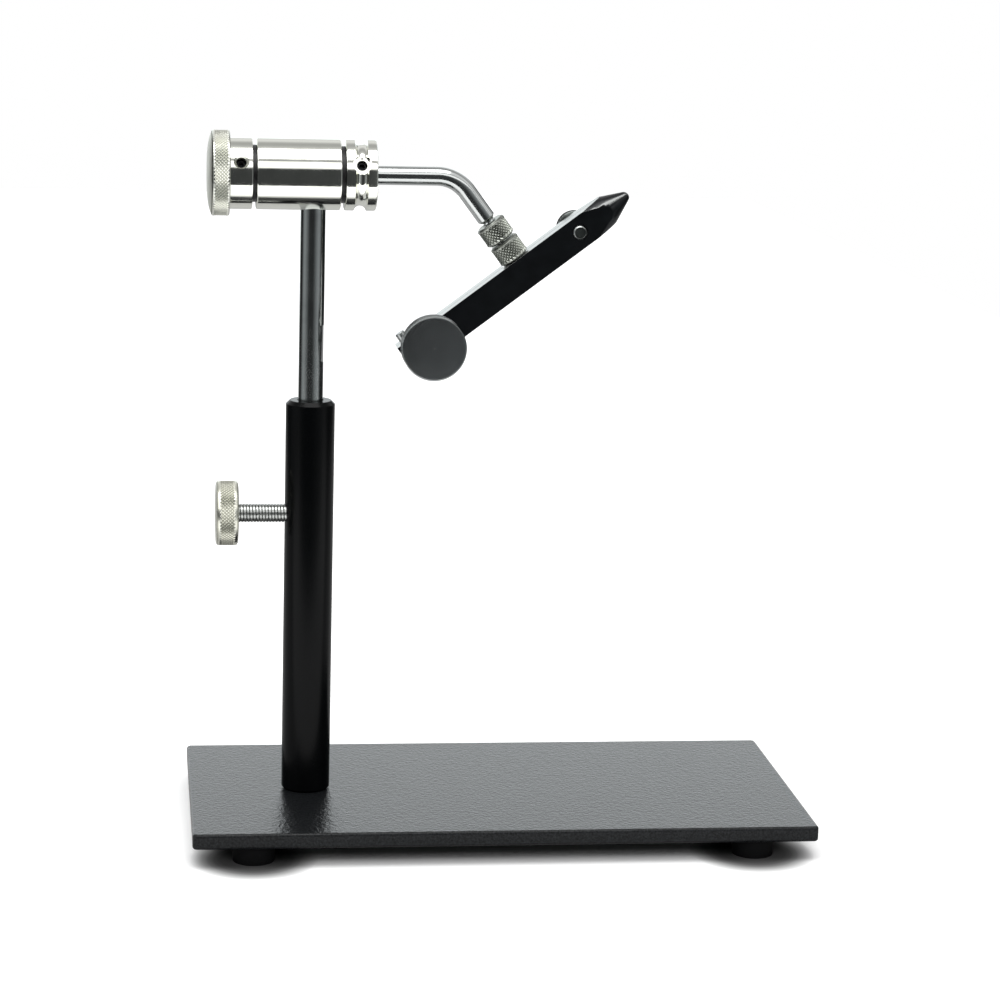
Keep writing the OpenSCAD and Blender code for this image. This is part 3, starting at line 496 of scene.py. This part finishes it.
def jaw_material():
    """Blackened steel that is ground bright on top, with a painted highlight along the cone"""
    material, tree, shader, here = new_finish("blackened_jaw_steel", "#0c0e11", 0.6, 0.3,
                                              "black_oxide")
    wear, cloud, grain = (add_node(tree, "TexNoise", inputs={
        "Vector": here, "Scale": 1 / (size_mm * MM), "Detail": detail})
        for size_mm, detail in ((1.2, 3.0), (5, 4.0), (0.4, 2.0)))
    local = add_node(tree, "VectorMath", "SUBTRACT", {0: here, 1: jaw_centre})
    height = add_node(tree, "VectorMath", "DOT_PRODUCT", {0: local, 1: NUT_AXIS})
    border = add_node(tree, "MapRange", inputs={
        "Value": wear.outputs["Fac"], "From Min": 0.3, "From Max": 0.7,
        "To Min": GROUND_ABOVE[0] * MM, "To Max": GROUND_ABOVE[1] * MM})
    ground = add_node(tree, "Math", "GREATER_THAN", {0: height.outputs["Value"], 1: border})
    outward = add_node(tree, "TexCoord").outputs["Normal"]
    # The cone's painted highlight: a bright band chosen by where its normal points
    faces_up, faces_front, faces_nose = (
        add_node(tree, "VectorMath", "DOT_PRODUCT", {0: outward, 1: way}).outputs["Value"]
        for way in (NUT_AXIS, -TO_BACK, JAW_AXIS))
    turned = add_node(tree, "Math", "ARCTAN2", {0: faces_front, 1: faces_up})
    apart = add_node(tree, "Math", "SUBTRACT", {0: turned, 1: HIGHLIGHT_TURN})
    apart_size = add_node(tree, "Math", "ABSOLUTE", {0: apart})
    band = add_node(tree, "MapRange", {"interpolation_type": "SMOOTHSTEP"},
                    {"Value": apart_size, "From Min": HIGHLIGHT_HALF * 1.5,
                     "From Max": HIGHLIGHT_HALF * 0.4, "To Max": HIGHLIGHT_SHARE})
    on_cone = add_node(tree, "Math", "GREATER_THAN", {0: faces_nose, 1: ON_CONE})
    cone_highlight = add_node(tree, "Math", "MULTIPLY", {0: band, 1: on_cone})
    bright = add_node(tree, "Math", "MAXIMUM", {0: ground, 1: cone_highlight})
    blackened = add_node(tree, "ValToRGB", inputs={"Fac": cloud.outputs["Fac"]},
                         stops=[(0.3, "#0b0d10"), (0.7, "#15181b")]).outputs["Color"]
    colour = add_node(tree, "Mix", {"data_type": "RGBA"},
                      {0: bright, 6: blackened, 7: linear("#c0c2c0")})
    metal = add_node(tree, "MapRange", inputs={
        "Value": bright, "To Min": 0.5, "To Max": 1.0})
    tree.links.new(metal.outputs[0], shader.inputs["Metallic"])
    wire_finish(tree, shader, colour.outputs[2], grain.outputs["Fac"], 0.004)
    return material


jaw_finish = jaw_material()
plain_pieces = (
    (black_rubber, "rubber_feet"), (nylon, "height_screw_plug"),
    (zinc_plate, "foot_screws stem_screw adjusting_washer jaw_spring keeper_pin"),
    (black_oxide, "head_grub_screw handwheel_grub_screw collar_grub_screw"),
    (bronze, "rear_bush front_bush clamp_tip"),
    (black_acetal, "rear_thrust_washer front_thrust_washer"))
for material, names in plain_pieces:
    for node_name in names.split():
        nodes[node_name].data.materials.clear()
        nodes[node_name].data.materials.append(material)
print("finishes", len(bpy.data.materials))

# %% [markdown]
# Nearly every piece of this tool came off a lathe. So the first helpers work as a lathe does:
# a chain of edges is drawn as the outline of half the piece, and is spun round Z. It is
# then turned to its own axis and moved to its place, which stays in the mesh.

# %% Outline and spin
WELD = 0.002 * MM


def only(piece):
    """Selects one object alone and makes it active"""
    bpy.ops.object.select_all(action="DESELECT")
    piece.select_set(True)
    bpy.context.view_layer.objects.active = piece


def edit_all(piece):
    """Opens edit mode with the whole of a piece selected"""
    only(piece)
    bpy.ops.object.mode_set(mode="EDIT")
    bpy.ops.mesh.select_all(action="SELECT")


def close_edit():
    bpy.ops.object.mode_set(mode="OBJECT")


def close_solid():
    """Welds what lies together, turns every face outward and leaves edit mode"""
    bpy.ops.mesh.select_all(action="SELECT")
    bpy.ops.mesh.remove_doubles(threshold=WELD)
    bpy.ops.mesh.normals_make_consistent(inside=False)
    close_edit()


def pick(piece, kind, test):
    """Opens edit mode with only those vertices, edges or faces selected that pass a test"""
    only(piece)
    bpy.ops.object.mode_set(mode="EDIT")
    bpy.ops.mesh.select_mode(type=kind)
    bpy.ops.mesh.select_all(action="DESELECT")
    close_edit()
    parts = {"VERT": piece.data.vertices, "EDGE": piece.data.edges, "FACE": piece.data.polygons}
    for part in parts[kind]:
        part.select = bool(test(part))
    bpy.ops.object.mode_set(mode="EDIT")


def pull(way):
    """Extrudes what is selected along a way"""
    bpy.ops.mesh.extrude_region_move(TRANSFORM_OT_translate={"value": way})


def outline(name, points):
    """A chain of edges through points of (radius, height) in millimetres"""
    bpy.ops.mesh.primitive_plane_add(size=MM)
    piece = bpy.context.object
    piece.name = name
    edit_all(piece)
    bpy.ops.mesh.select_mode(type="VERT")
    bpy.ops.mesh.merge(type="CENTER")
    bpy.ops.transform.translate(value=(points[0][0] * MM, 0, points[0][1] * MM))
    for old, new in zip(points, points[1:]):
        pull(((new[0] - old[0]) * MM, 0, (new[1] - old[1]) * MM))
    close_edit()
    return piece


def spun(name, points, columns=128):
    """Spins an outline round Z into a closed solid"""
    piece = outline(name, points)
    edit_all(piece)
    bpy.ops.mesh.spin(steps=columns, angle=2 * math.pi, center=(0, 0, 0), axis=(0, 0, 1))
    close_solid()
    return piece


def block(name, size, centre):
    """A box of a size round a centre"""
    bpy.ops.mesh.primitive_cube_add(size=1)
    piece = bpy.context.object
    piece.name = name
    edit_all(piece)
    bpy.ops.transform.resize(value=size)
    bpy.ops.transform.translate(value=centre)
    close_edit()
    return piece


def place(piece, centre, axis):
    """Turns a piece from Z to an axis and moves it, and keeps its place in its mesh"""
    turn = UP.rotation_difference(axis).to_matrix().to_4x4()
    piece.matrix_world = Matrix.Translation(centre) @ turn
    only(piece)
    bpy.ops.object.transform_apply(location=True, rotation=True, scale=True)
    return piece


def joined(name, *pieces):
    """Joins several shells into one object"""
    only(pieces[0])
    for piece in pieces[1:]:
        piece.select_set(True)
    bpy.ops.object.join()
    pieces[0].name = name
    return pieces[0]


def cut_away(piece, *cutters):
    """Takes the cutters' space out of a piece, as a drill or mill does"""
    for cutter in cutters:
        modifier = piece.modifiers.new("cut", "BOOLEAN")
        modifier.operation = "DIFFERENCE"
        modifier.solver = "EXACT"
        modifier.object = cutter
        only(piece)
        bpy.ops.object.modifier_apply(modifier=modifier.name)
        bpy.data.objects.remove(cutter)
    return piece


def break_edges(piece, width_mm, segments, sharp):
    """Rounds the active piece's edges that are sharper than an angle in degrees"""
    modifier = piece.modifiers.new("broken_edges", "BEVEL")
    modifier.width = width_mm * MM
    modifier.segments = segments
    modifier.limit_method = "ANGLE"
    modifier.angle_limit = math.radians(sharp)
    bpy.ops.object.modifier_apply(modifier=modifier.name)


def open_edges(piece):
    """Counts the edges that don't have two faces, which is 0 for a closed solid"""
    uses = Counter(key for face in piece.data.polygons for key in face.edge_keys)
    return sum(uses[edge.key] != 2 for edge in piece.data.edges)


def coat(piece, material):
    """Gives every face of a piece one material"""
    piece.data.materials.clear()
    piece.data.materials.append(material)
    return piece


def dress(piece, body, node_name, material, smooth=32):
    """Shades a finished piece and puts it in place of its CAD node. Large faces keep
    their own normals, so that a small bevel beside them doesn't bend their reflections.
    A piece that is joined from two metals has them already, and gets none here"""
    only(piece)
    bpy.ops.object.shade_smooth_by_angle(angle=math.radians(smooth))
    evened = piece.modifiers.new("evened", "WEIGHTED_NORMAL")
    evened.keep_sharp = True
    bpy.ops.object.modifier_apply(modifier=evened.name)
    if material:
        coat(piece, material)
    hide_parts(node_name)
    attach(piece, body)
    print(piece.name, len(piece.data.polygons), "faces, open edges", open_edges(piece))


# %% [markdown]
# A knurl is rolled or cut as two sets of slanting grooves, which leave rows of small
# pyramids. A spun cylinder already has a grid of vertices. When every second vertex is
# pulled in, as on a chessboard, and each square is split along its short diagonal, the
# same pyramids appear. The real pitch is about 1 mm. It is drawn at 1.1 mm on the knobs
# and at 1.3 mm on the nuts, which is as coarse as it needs to show.

# %% Knurl helper
def knurl_rows(radius, low, high, pitch):
    """Outline points for a knurled band, half a pitch apart"""
    count = max(2, round((high - low) / (pitch / 2)))
    return [(radius, low + (high - low) * row / count) for row in range(count + 1)]


def knurl_columns(radius, pitch):
    return 2 * round(2 * math.pi * radius / pitch)


def knurl(piece, radius, low, high, pitch, depth):
    """Pulls every second vertex of a band in towards Z, so that pyramids stand out"""
    rows = len(knurl_rows(radius, low, high, pitch)) - 1
    columns = knurl_columns(radius, pitch)

    def in_band(point):
        return (abs(math.hypot(point.x, point.y) - radius * MM) < 0.01 * MM
                and (low - 0.01) * MM < point.z < (high + 0.01) * MM)

    def is_valley(vertex):
        point = vertex.co
        if not in_band(point):
            return False
        column = round(math.atan2(point.y, point.x) / (2 * math.pi) * columns)
        row = round((point.z / MM - low) / (high - low) * rows)
        return 0 < row < rows and (column + row) % 2 == 1

    band = {vertex.index for vertex in piece.data.vertices if in_band(vertex.co)}
    pick(piece, "VERT", is_valley)
    shrink = (radius - depth) / radius
    bpy.ops.transform.resize(value=(shrink, shrink, 1), center_override=(0, 0, 0))
    close_edit()
    pick(piece, "FACE", lambda face: all(v in band for v in face.vertices))
    bpy.ops.mesh.quads_convert_to_tris(quad_method="SHORTEST_DIAGONAL")
    close_edit()
    return piece


# %% [markdown]
# A thread is one tooth drawn from the side and then lifted by its pitch at every turn. The
# Screw modifier does just that. It starts a turn and a half early, and the ragged first and
# last turns are cut off square with Bisect. The two holes that it leaves are filled.

# %% Thread helper
RUN_UP = 1.537
TURN_STEPS = 36


def thread(name, diameter, pitch, low, high):
    """A metric thread along Z between two heights, in millimetres"""
    crest = diameter / 2
    root = crest - 0.3 * pitch
    tooth = [(root, 0), (crest, 0.24 * pitch), (crest, 0.76 * pitch), (root, pitch)]
    start = low - RUN_UP * pitch
    piece = outline(name, [(radius, start + height) for radius, height in tooth])
    modifier = piece.modifiers.new("turns", "SCREW")
    modifier.axis = "Z"
    modifier.screw_offset = pitch * MM
    modifier.iterations = math.ceil((high - low) / pitch) + 3
    modifier.steps = modifier.render_steps = TURN_STEPS
    modifier.use_merge_vertices = True
    modifier.merge_threshold = WELD
    only(piece)
    bpy.ops.object.modifier_apply(modifier=modifier.name)
    edit_all(piece)
    bpy.ops.mesh.remove_doubles(threshold=WELD)
    for height, outward in ((low, -1), (high, 1)):
        bpy.ops.mesh.select_all(action="SELECT")
        bpy.ops.mesh.bisect(plane_co=(0, 0, height * MM), plane_no=(0, 0, outward),
                            clear_outer=True)
    bpy.ops.mesh.select_all(action="SELECT")
    bpy.ops.mesh.remove_doubles(threshold=WELD)
    bpy.ops.mesh.fill_holes(sides=0)
    close_solid()
    return piece


# %% [markdown]
# The plate was sawn from 5 mm steel and powder coated. The coat rounds its edges, so light
# rolls over them. The Bevel modifier makes that round, and weighted normals keep the big
# faces flat. A countersink below takes the screw that holds the stem.

# %% Base plate
PLATE_ROUND, CORNER_R = 0.9, 1.5
SINK_R, SINK_H, STEM_SCREW_R = 6.02, 3.2, 3.02
plate = block("base_plate_skin", plate_high - plate_low, (plate_high + plate_low) / 2)


def is_upright(edge):
    """An edge of the plate that runs up and down at one of its corners"""
    start, end = (plate.data.vertices[index].co for index in edge.vertices)
    return abs(start.z - end.z) > 1 * MM


pick(plate, "EDGE", is_upright)
bpy.ops.mesh.bevel(offset=CORNER_R * MM, segments=4, affect="EDGES")
close_edit()
bpy.ops.object.shade_smooth_by_angle(angle=math.radians(60))
break_edges(plate, PLATE_ROUND, 5, 60)
countersink = place(spun("countersink", [
    (0, -1), (SINK_R + 0.02, -1), (SINK_R, 0), (STEM_SCREW_R, SINK_H), (STEM_SCREW_R, 6),
    (0, 6)], 64), stem_centre + plate_low.z * UP, UP)
cut_away(plate, countersink)
dress(plate, "base", "base_plate", powder_coat, 40)

# %% [markdown]
# The stem is a thick black tube with a turned bevel at each end. The rod slides in it, and
# the height screw enters it from the left through a tapped hole. The tube's wall is cut
# right through there, as its drill would do.

# %% Stem tube
FOOT_BEVEL, TOP_BEVEL, SOLID_FOOT = 0.8, 1.2, 17
BORE_R, BORE_BEVEL = 4.05, 0.3
TAPPED_R, TAPPED_L = 3.05, 16
tube_low, tube_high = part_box("stem_tube")
tube_r = (tube_high.x - tube_low.x) / 2 / MM
tube_l = (tube_high.z - tube_low.z) / MM
tube = spun("stem_tube_skin", [
    (0, 0), (tube_r - FOOT_BEVEL, 0), (tube_r, FOOT_BEVEL), (tube_r, tube_l - TOP_BEVEL),
    (tube_r - TOP_BEVEL, tube_l), (BORE_R + BORE_BEVEL, tube_l),
    (BORE_R, tube_l - BORE_BEVEL), (BORE_R, SOLID_FOOT), (0, SOLID_FOOT)], 160)
place(tube, stem_centre + tube_low.z * UP, UP)
tapped = place(spun("tap", [(0, 0), (TAPPED_R, 0), (TAPPED_R, TAPPED_L), (0, TAPPED_L)], 64),
               lock_place, -ALONG_HEAD)
cut_away(tube, tapped)
dress(tube, "base", "stem_tube", gloss_black)

# %% [markdown]
# The rod is bright ground steel with a small milled flat low on its right side. The flat
# gives a spanner something to hold. It shows in the picture as a short change of tone.

# %% Rod and its flat
ROD_R, ROD_BEVEL = 4, 0.5
FLAT_UP, FLAT_L, FLAT_DEPTH = 12.4, 12, 0.5
FLAT_TURN = math.radians(20)
MILL_W = 8
rod_low, rod_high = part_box("stem_rod")
rod_l = (rod_high.z - rod_low.z) / MM
rod = spun("stem_rod_skin", [
    (0, 0), (ROD_R - ROD_BEVEL, 0), (ROD_R, ROD_BEVEL), (ROD_R, rod_l - ROD_BEVEL),
    (ROD_R - ROD_BEVEL, rod_l), (0, rod_l)], 160)
place(rod, stem_centre + rod_low.z * UP, UP)
mill = block("mill", Vector((MILL_W, MILL_W, FLAT_L)) * MM,
             Vector((ROD_R - FLAT_DEPTH + MILL_W / 2, 0, FLAT_UP + FLAT_L / 2)) * MM
             + tube_high.z * UP)
edit_all(mill)
bpy.ops.transform.rotate(value=FLAT_TURN, orient_axis="Z", center_override=(0, 0, 0))
bpy.ops.transform.translate(value=stem_centre)
close_edit()
cut_away(rod, mill)
dress(rod, "rod", "stem_rod", ground_rod)

# %% [markdown]
# The head is one bright barrel. The rod enters a socket below it and a grub screw behind
# locks it there. Drawing the bore and its two bush seats in the outline makes it a real
# tube, so nothing is missing when it is seen from below.

# %% Head barrel
def along_x(name, points, columns=256):
    """A spun piece on the head's axis, with heights measured from the stem's axis"""
    return place(spun(name, points, columns), head_centre, ALONG_HEAD)


HEAD_R = 11.3
BARREL_LEFT, BARREL_RIGHT = -18.2, 8.4
BUSH_R, BUSH_L, BARREL_BORE_R = 4.52, 9, 3.8
SOCKET_L, SOCKET_GAP = 12, 0.05
LOCK_GRUB_R, LOCK_GRUB_L, LOCK_GRUB_DROP = 1.52, 12, 8.5
barrel = along_x("head_barrel_skin", [
    (BUSH_R, BARREL_LEFT), (HEAD_R - 0.5, BARREL_LEFT), (HEAD_R - 0.15, BARREL_LEFT + 0.15),
    (HEAD_R, BARREL_LEFT + 0.5), (HEAD_R, BARREL_RIGHT - 0.5),
    (HEAD_R - 0.15, BARREL_RIGHT - 0.15), (HEAD_R - 0.5, BARREL_RIGHT),
    (BUSH_R, BARREL_RIGHT), (BUSH_R, BARREL_RIGHT - BUSH_L),
    (BARREL_BORE_R, BARREL_RIGHT - BUSH_L), (BARREL_BORE_R, BARREL_LEFT + BUSH_L),
    (BUSH_R, BARREL_LEFT + BUSH_L), (BUSH_R, BARREL_LEFT)])
socket = place(spun("socket", [(0, 0), (BORE_R, 0), (BORE_R, SOCKET_L), (0, SOCKET_L)], 96),
               stem_centre + (rod_high.z + (SOCKET_GAP - SOCKET_L) * MM) * UP, UP)
back_hole = place(spun("back_hole", [(0, 0), (LOCK_GRUB_R, 0), (LOCK_GRUB_R, LOCK_GRUB_L),
                                     (0, LOCK_GRUB_L)], 48),
                  head_centre + Vector((0, 2, -LOCK_GRUB_DROP)) * MM, TO_BACK)
cut_away(barrel, socket, back_hole)
dress(barrel, "head", "head_barrel", polished_head)

# %% [markdown]
# The handwheel turns the jaws from the left end. Its rim is knurled, its outer face is a
# low pillow dome, and its hub has the barrel's diameter. A grub screw in a countersunk hole
# faces up to the front, 23 degrees above level.

# %% Handwheel
RIM_R, RIM_W, HUB_L = 13.5, 5.3, 7.4
RIM_PROUD, RIM_PLAIN = 0.3, 0.35
DOME_R, DOME_H, DOME_STEPS = 13.2, 1.5, 12
WHEEL_END, SHAFT_BORE_R = 3, 3.02
GRUB_R, MOUTH_R = 1.67, 2.45
wheel_right = (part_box("handwheel")[1].x - head_centre.x) / MM
wheel_left = wheel_right - HUB_L - RIM_W
rim_right = wheel_left + RIM_W + RIM_PROUD
rim_low, rim_high = wheel_left + RIM_PLAIN, rim_right - RIM_PLAIN
wheel_points = [(DOME_R * share, wheel_left - DOME_H * (1 - share ** 4))
                for share in (step / DOME_STEPS for step in range(DOME_STEPS + 1))]
wheel_points += knurl_rows(RIM_R, rim_low, rim_high, KNOB_PITCH)
wheel_points += [
    (RIM_R - 0.4, rim_right), (HEAD_R, rim_right), (HEAD_R, wheel_right - 0.4),
    (HEAD_R - 0.1, wheel_right - 0.1), (HEAD_R - 0.4, wheel_right),
    (SHAFT_BORE_R, wheel_right), (SHAFT_BORE_R, wheel_left + WHEEL_END),
    (0, wheel_left + WHEEL_END)]
wheel = spun("handwheel_skin", wheel_points, knurl_columns(RIM_R, KNOB_PITCH))
knurl(wheel, RIM_R, rim_low, rim_high, KNOB_PITCH, KNOB_DEPTH)
coat(wheel, wheel_nickel)
wheel.data.materials.append(polished_head)
wheel.data.materials.append(satin_nickel)
for number, on_part in (
        (1, lambda face: face.center.z > (rim_right - 0.01) * MM),
        (2, lambda face: face.center.z < (wheel_left + 0.02) * MM)):
    pick(wheel, "FACE", on_part)
    wheel.active_material_index = number
    bpy.ops.object.material_slot_assign()
    close_edit()
place(wheel, head_centre, ALONG_HEAD)

GRUB_UP = math.radians(23)
TO_GRUB = Vector((0, -math.cos(GRUB_UP), math.sin(GRUB_UP)))


def grub_hole(name, along, points):
    """A drill that points from the head's axis to the grub screws' side"""
    return place(spun(name, points, 64), head_centre + Vector((along * MM, 0, 0)), TO_GRUB)


cut_away(wheel, grub_hole("hub_hole", wheel_right - HUB_L / 2, [
    (0, 1), (GRUB_R, 1), (GRUB_R, HEAD_R - MOUTH_R + GRUB_R), (MOUTH_R, HEAD_R),
    (MOUTH_R + 0.55, HEAD_R + 0.55), (0, HEAD_R + 0.55)]))
dress(wheel, "rotor", "handwheel", None)

# %% [markdown]
# The drive collar carries a round belt groove, and its grub screw sits in a wide spot face
# that breaks into the groove. The groove's circle lies partly outside the collar.

# %% Drive collar
collar_low, collar_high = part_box("drive_collar")
collar_left = (collar_low.x - head_centre.x) / MM
collar_right = (collar_high.x - head_centre.x) / MM
collar_middle = (collar_left + collar_right) / 2
GROOVE_R, GROOVE_OUT = 2.05, 11.75
GROOVE_HALF, GROOVE_STEPS = 77.3, 12
SPOT_R, SPOT_FLOOR = 3.0, 9.3
groove = []
for step in range(GROOVE_STEPS + 1):
    turn = math.radians(GROOVE_HALF * (2 * step / GROOVE_STEPS - 1))
    groove.append((GROOVE_OUT - GROOVE_R * math.cos(turn),
                   collar_middle + GROOVE_R * math.sin(turn)))
collar = along_x("drive_collar_skin", [
    (SHAFT_BORE_R, collar_left), (HEAD_R - 0.7, collar_left),
    (HEAD_R - 0.15, collar_left + 0.2), (HEAD_R, collar_left + 0.6)] + groove + [
    (HEAD_R, collar_right - 0.6), (HEAD_R - 0.15, collar_right - 0.2),
    (HEAD_R - 0.7, collar_right), (SHAFT_BORE_R, collar_right), (SHAFT_BORE_R, collar_left)])
cut_away(collar, grub_hole("collar_hole", collar_middle, [
    (0, 1), (GRUB_R, 1), (GRUB_R, SPOT_FLOOR), (SPOT_R, SPOT_FLOOR), (SPOT_R, 13), (0, 13)]))
dress(collar, "rotor", "drive_collar", polished_head, 30)

# %% [markdown]
# The crank arm is one bar of ground steel, bent by 52.7 degrees. A round face is extruded
# along the shaft, spun through the bend and extruded again down the leg, so its rings
# never change size. Its last ring is drawn in for the bevel. The nuts run on a threaded
# stud at its end.

# %% Crank arm
ARM_R, ARM_OUT, ARM_IN = 3.0, 19.6, 0.4
BEND_R, LEG, LEG_BEVEL = 12.1, 11.3, 0.8
NUT_R, NUT_T = 5.0, 6.7
JAW_TOP, SEAT_GAP, NUT_GAP, SHOULDER_GAP = 5, 0.2, 0.7, 1.0
STUD_D, STUD_PITCH, STUD_GRIP = 4, 0.7, 6
leg_foot = JAW_TOP + SEAT_GAP + 2 * NUT_T + NUT_GAP + SHOULDER_GAP
shaft_left = wheel_left + WHEEL_END + ARM_IN
bend_x = collar_right + ARM_OUT
bend_turn = JAW_AXIS.angle(UP)
leg_way = Vector((math.cos(bend_turn), 0, -math.sin(bend_turn)))
bpy.ops.mesh.primitive_circle_add(
    vertices=96, radius=ARM_R * MM, fill_type="NGON", rotation=(0, math.pi / 2, 0),
    location=head_centre + Vector((shaft_left * MM, 0, 0)))
arm = bpy.context.object
arm.name = "crank_arm_skin"
bpy.ops.object.transform_apply(location=True, rotation=True, scale=True)
edit_all(arm)
bpy.ops.mesh.select_mode(type="FACE")
pull(((bend_x - shaft_left) * MM, 0, 0))
bend_centre = head_centre + Vector((bend_x * MM, 0, -BEND_R * MM))
bpy.ops.mesh.spin(steps=40, angle=-bend_turn, center=bend_centre, axis=(0, 1, 0))
pull(leg_way * (LEG - LEG_BEVEL) * MM)
pull(leg_way * LEG_BEVEL * MM)
shrink = (ARM_R - LEG_BEVEL) / ARM_R
leg_end = bend_centre + (BEND_R * Vector((math.sin(bend_turn), 0, math.cos(bend_turn)))
                         + LEG * leg_way) * MM
bpy.ops.transform.resize(value=(shrink, shrink, shrink), center_override=leg_end)
close_solid()
leg_error = (leg_end - in_jaws(0, 0, leg_foot)).length / MM
print("leg ends", round(leg_error, 3), "mm from where the CAD ends it")
stud = place(thread("stud", STUD_D, STUD_PITCH, JAW_TOP - STUD_GRIP, leg_foot + LEG_BEVEL),
             jaw_centre, NUT_AXIS)
arm = joined("crank_arm_skin", arm, stud)
dress(arm, "rotor", "crank_arm", ground_arm)

# %% [markdown]
# Two small knurled nuts run on the stud. The lower one holds the jaws at their angle and
# the upper one locks it. One is modelled, and the other is a copy with its own mesh, turned
# a little so that the two knurls don't line up.

# %% Knurled nuts
NUT_BORE_R, NUT_MOUTH, NUT_BEVEL, NUT_PLAIN = 2.05, 0.35, 0.7, 0.55
NUT_OFFSET = math.radians(11)
nut_band = (NUT_PLAIN, NUT_T - NUT_PLAIN)
nut_points = [(NUT_BORE_R, NUT_MOUTH), (NUT_BORE_R + NUT_MOUTH, 0), (NUT_R - NUT_BEVEL, 0)]
nut_points += knurl_rows(NUT_R, *nut_band, NUT_PITCH)
nut_points += [(NUT_R - NUT_BEVEL, NUT_T), (NUT_BORE_R + NUT_MOUTH, NUT_T),
               (NUT_BORE_R, NUT_T - NUT_MOUTH), (NUT_BORE_R, NUT_MOUTH)]
lower = spun("lower_nut_skin", nut_points, knurl_columns(NUT_R, NUT_PITCH))
knurl(lower, NUT_R, *nut_band, NUT_PITCH, NUT_DEPTH)
only(lower)
bpy.ops.object.duplicate()
upper = bpy.context.object
upper.name = "upper_nut_skin"
edit_all(upper)
bpy.ops.transform.rotate(value=NUT_OFFSET, orient_axis="Z", center_override=(0, 0, 0))
close_edit()
place(lower, in_jaws(0, 0, JAW_TOP + SEAT_GAP), NUT_AXIS)
place(upper, in_jaws(0, 0, JAW_TOP + SEAT_GAP + NUT_T + NUT_GAP), NUT_AXIS)
dress(lower, "lower_nut", "lower_nut", knurled_nut_steel)
dress(upper, "upper_nut", "upper_nut", knurled_nut_steel)

# %% [markdown]
# Two thumb screws share one design: a knurled knob on an M6 thread, whose tip is drilled
# for a soft plug. The knob's free face was turned flat, so it has fine rings and a tiny
# mark where the centre held it.

# %% Height screw and clamp screw
M6_D, M6_PITCH = 6, 1.0
TIP_HOLE_R, TIP_HOLE_L = 1.3, 3.02


def thumb_screw(node_name, centre, axis, material, knob_r, knob_w, bevel):
    """A thumb screw along an axis, made with its tip at the origin and its knob at -Z"""
    low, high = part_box(node_name)
    length = (high - low).dot(axis) / MM - knob_w
    far = -length - knob_w
    band = (far + bevel, -length - bevel)
    points = [(0, far + 0.05), (0.25, far + 0.04), (0.35, far), (knob_r - bevel, far),
              (knob_r - bevel * 0.25, far + bevel * 0.35)]
    points += knurl_rows(knob_r, *band, KNOB_PITCH)
    points += [(knob_r - bevel * 0.25, -length - bevel * 0.35), (knob_r - bevel, -length),
               (0, -length)]
    knob = spun("knob", points, knurl_columns(knob_r, KNOB_PITCH))
    coat(knurl(knob, knob_r, *band, KNOB_PITCH, KNOB_DEPTH), material)
    shank = thread("shank", M6_D, M6_PITCH, -length - 0.5, 0)
    tip = spun("tip_hole", [(0, -TIP_HOLE_L), (TIP_HOLE_R, -TIP_HOLE_L), (TIP_HOLE_R, 1),
                            (0, 1)], 32)
    coat(cut_away(shank, tip), thread_steel)
    screw = joined(node_name + "_skin", knob, shank)
    place(screw, centre + (high - centre).dot(axis) * axis, axis)
    dress(screw, node_name, node_name, None)


thumb_screw("height_screw", lock_place, ALONG_HEAD, knob_nickel,
            knob_r=10.5, knob_w=7.2, bevel=1.0)
thumb_screw("clamp_screw", clamp_place, TO_BACK, turned_clamp,
            knob_r=10.3, knob_w=7.0, bevel=0.6)

# %% [markdown]
# The adjusting screw passes through both jaws. Its bevelled end shows in front as a bright
# ring, and its knurled head sits behind the far jaw on a washer.

# %% Adjusting screw
ADJUST_R, ADJUST_HEAD_R, ADJUST_HEAD_W, ADJUST_BEVEL = 2.5, 5.8, 5, 0.8
adjust_low, adjust_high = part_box("adjusting_screw")
near_end = adjust_low.y / MM
head_back = adjust_high.y / MM
head_front = head_back - ADJUST_HEAD_W
adjust_band = (head_front + ADJUST_BEVEL, head_back - ADJUST_BEVEL)
adjust_points = [(0, near_end + 0.06), (0.3, near_end), (ADJUST_R - ADJUST_BEVEL, near_end),
                 (ADJUST_R, near_end + ADJUST_BEVEL), (ADJUST_R, head_front),
                 (ADJUST_HEAD_R - ADJUST_BEVEL, head_front)]
adjust_points += knurl_rows(ADJUST_HEAD_R, *adjust_band, KNOB_PITCH)
adjust_points += [(ADJUST_HEAD_R - ADJUST_BEVEL, head_back), (0, head_back)]
adjusting = spun("adjusting_screw_skin", adjust_points,
                 knurl_columns(ADJUST_HEAD_R, KNOB_PITCH))
knurl(adjusting, ADJUST_HEAD_R, *adjust_band, KNOB_PITCH, KNOB_DEPTH)
place(adjusting, (adjust_place.x, 0, adjust_place.z), TO_BACK)
dress(adjusting, "adjusting_screw", "adjusting_screw", dark_screw)

# %% [markdown]
# Each jaw is a flat bar that was blackened, then ground bright along its top edge. Its CAD
# shape is right, so a merged copy of it only gets its sharp edges broken by a small bevel,
# as a file would do. The bevels are what catch the light.

# %% Jaws
FILED_WIDTH = 0.12


def filed_copy(node_name, name):
    """A merged copy of a CAD node with its sharp edges bevelled"""
    piece = bpy.data.objects.new(name, nodes[node_name].data.copy())
    bpy.context.scene.collection.objects.link(piece)
    edit_all(piece)
    bpy.ops.mesh.remove_doubles(threshold=WELD)
    bpy.ops.mesh.dissolve_limited(angle_limit=math.radians(0.5))
    close_edit()
    break_edges(piece, FILED_WIDTH, 2, 40)
    return piece


for node_name, body in (("near_jaw", "jaws"), ("far_jaw", "far_jaw")):
    jaw = filed_copy(node_name, node_name + "_skin")
    dress(jaw, body, node_name, jaw_finish, 30)

# %% Colour view
bpy.context.scene.view_settings.view_transform = "Standard"
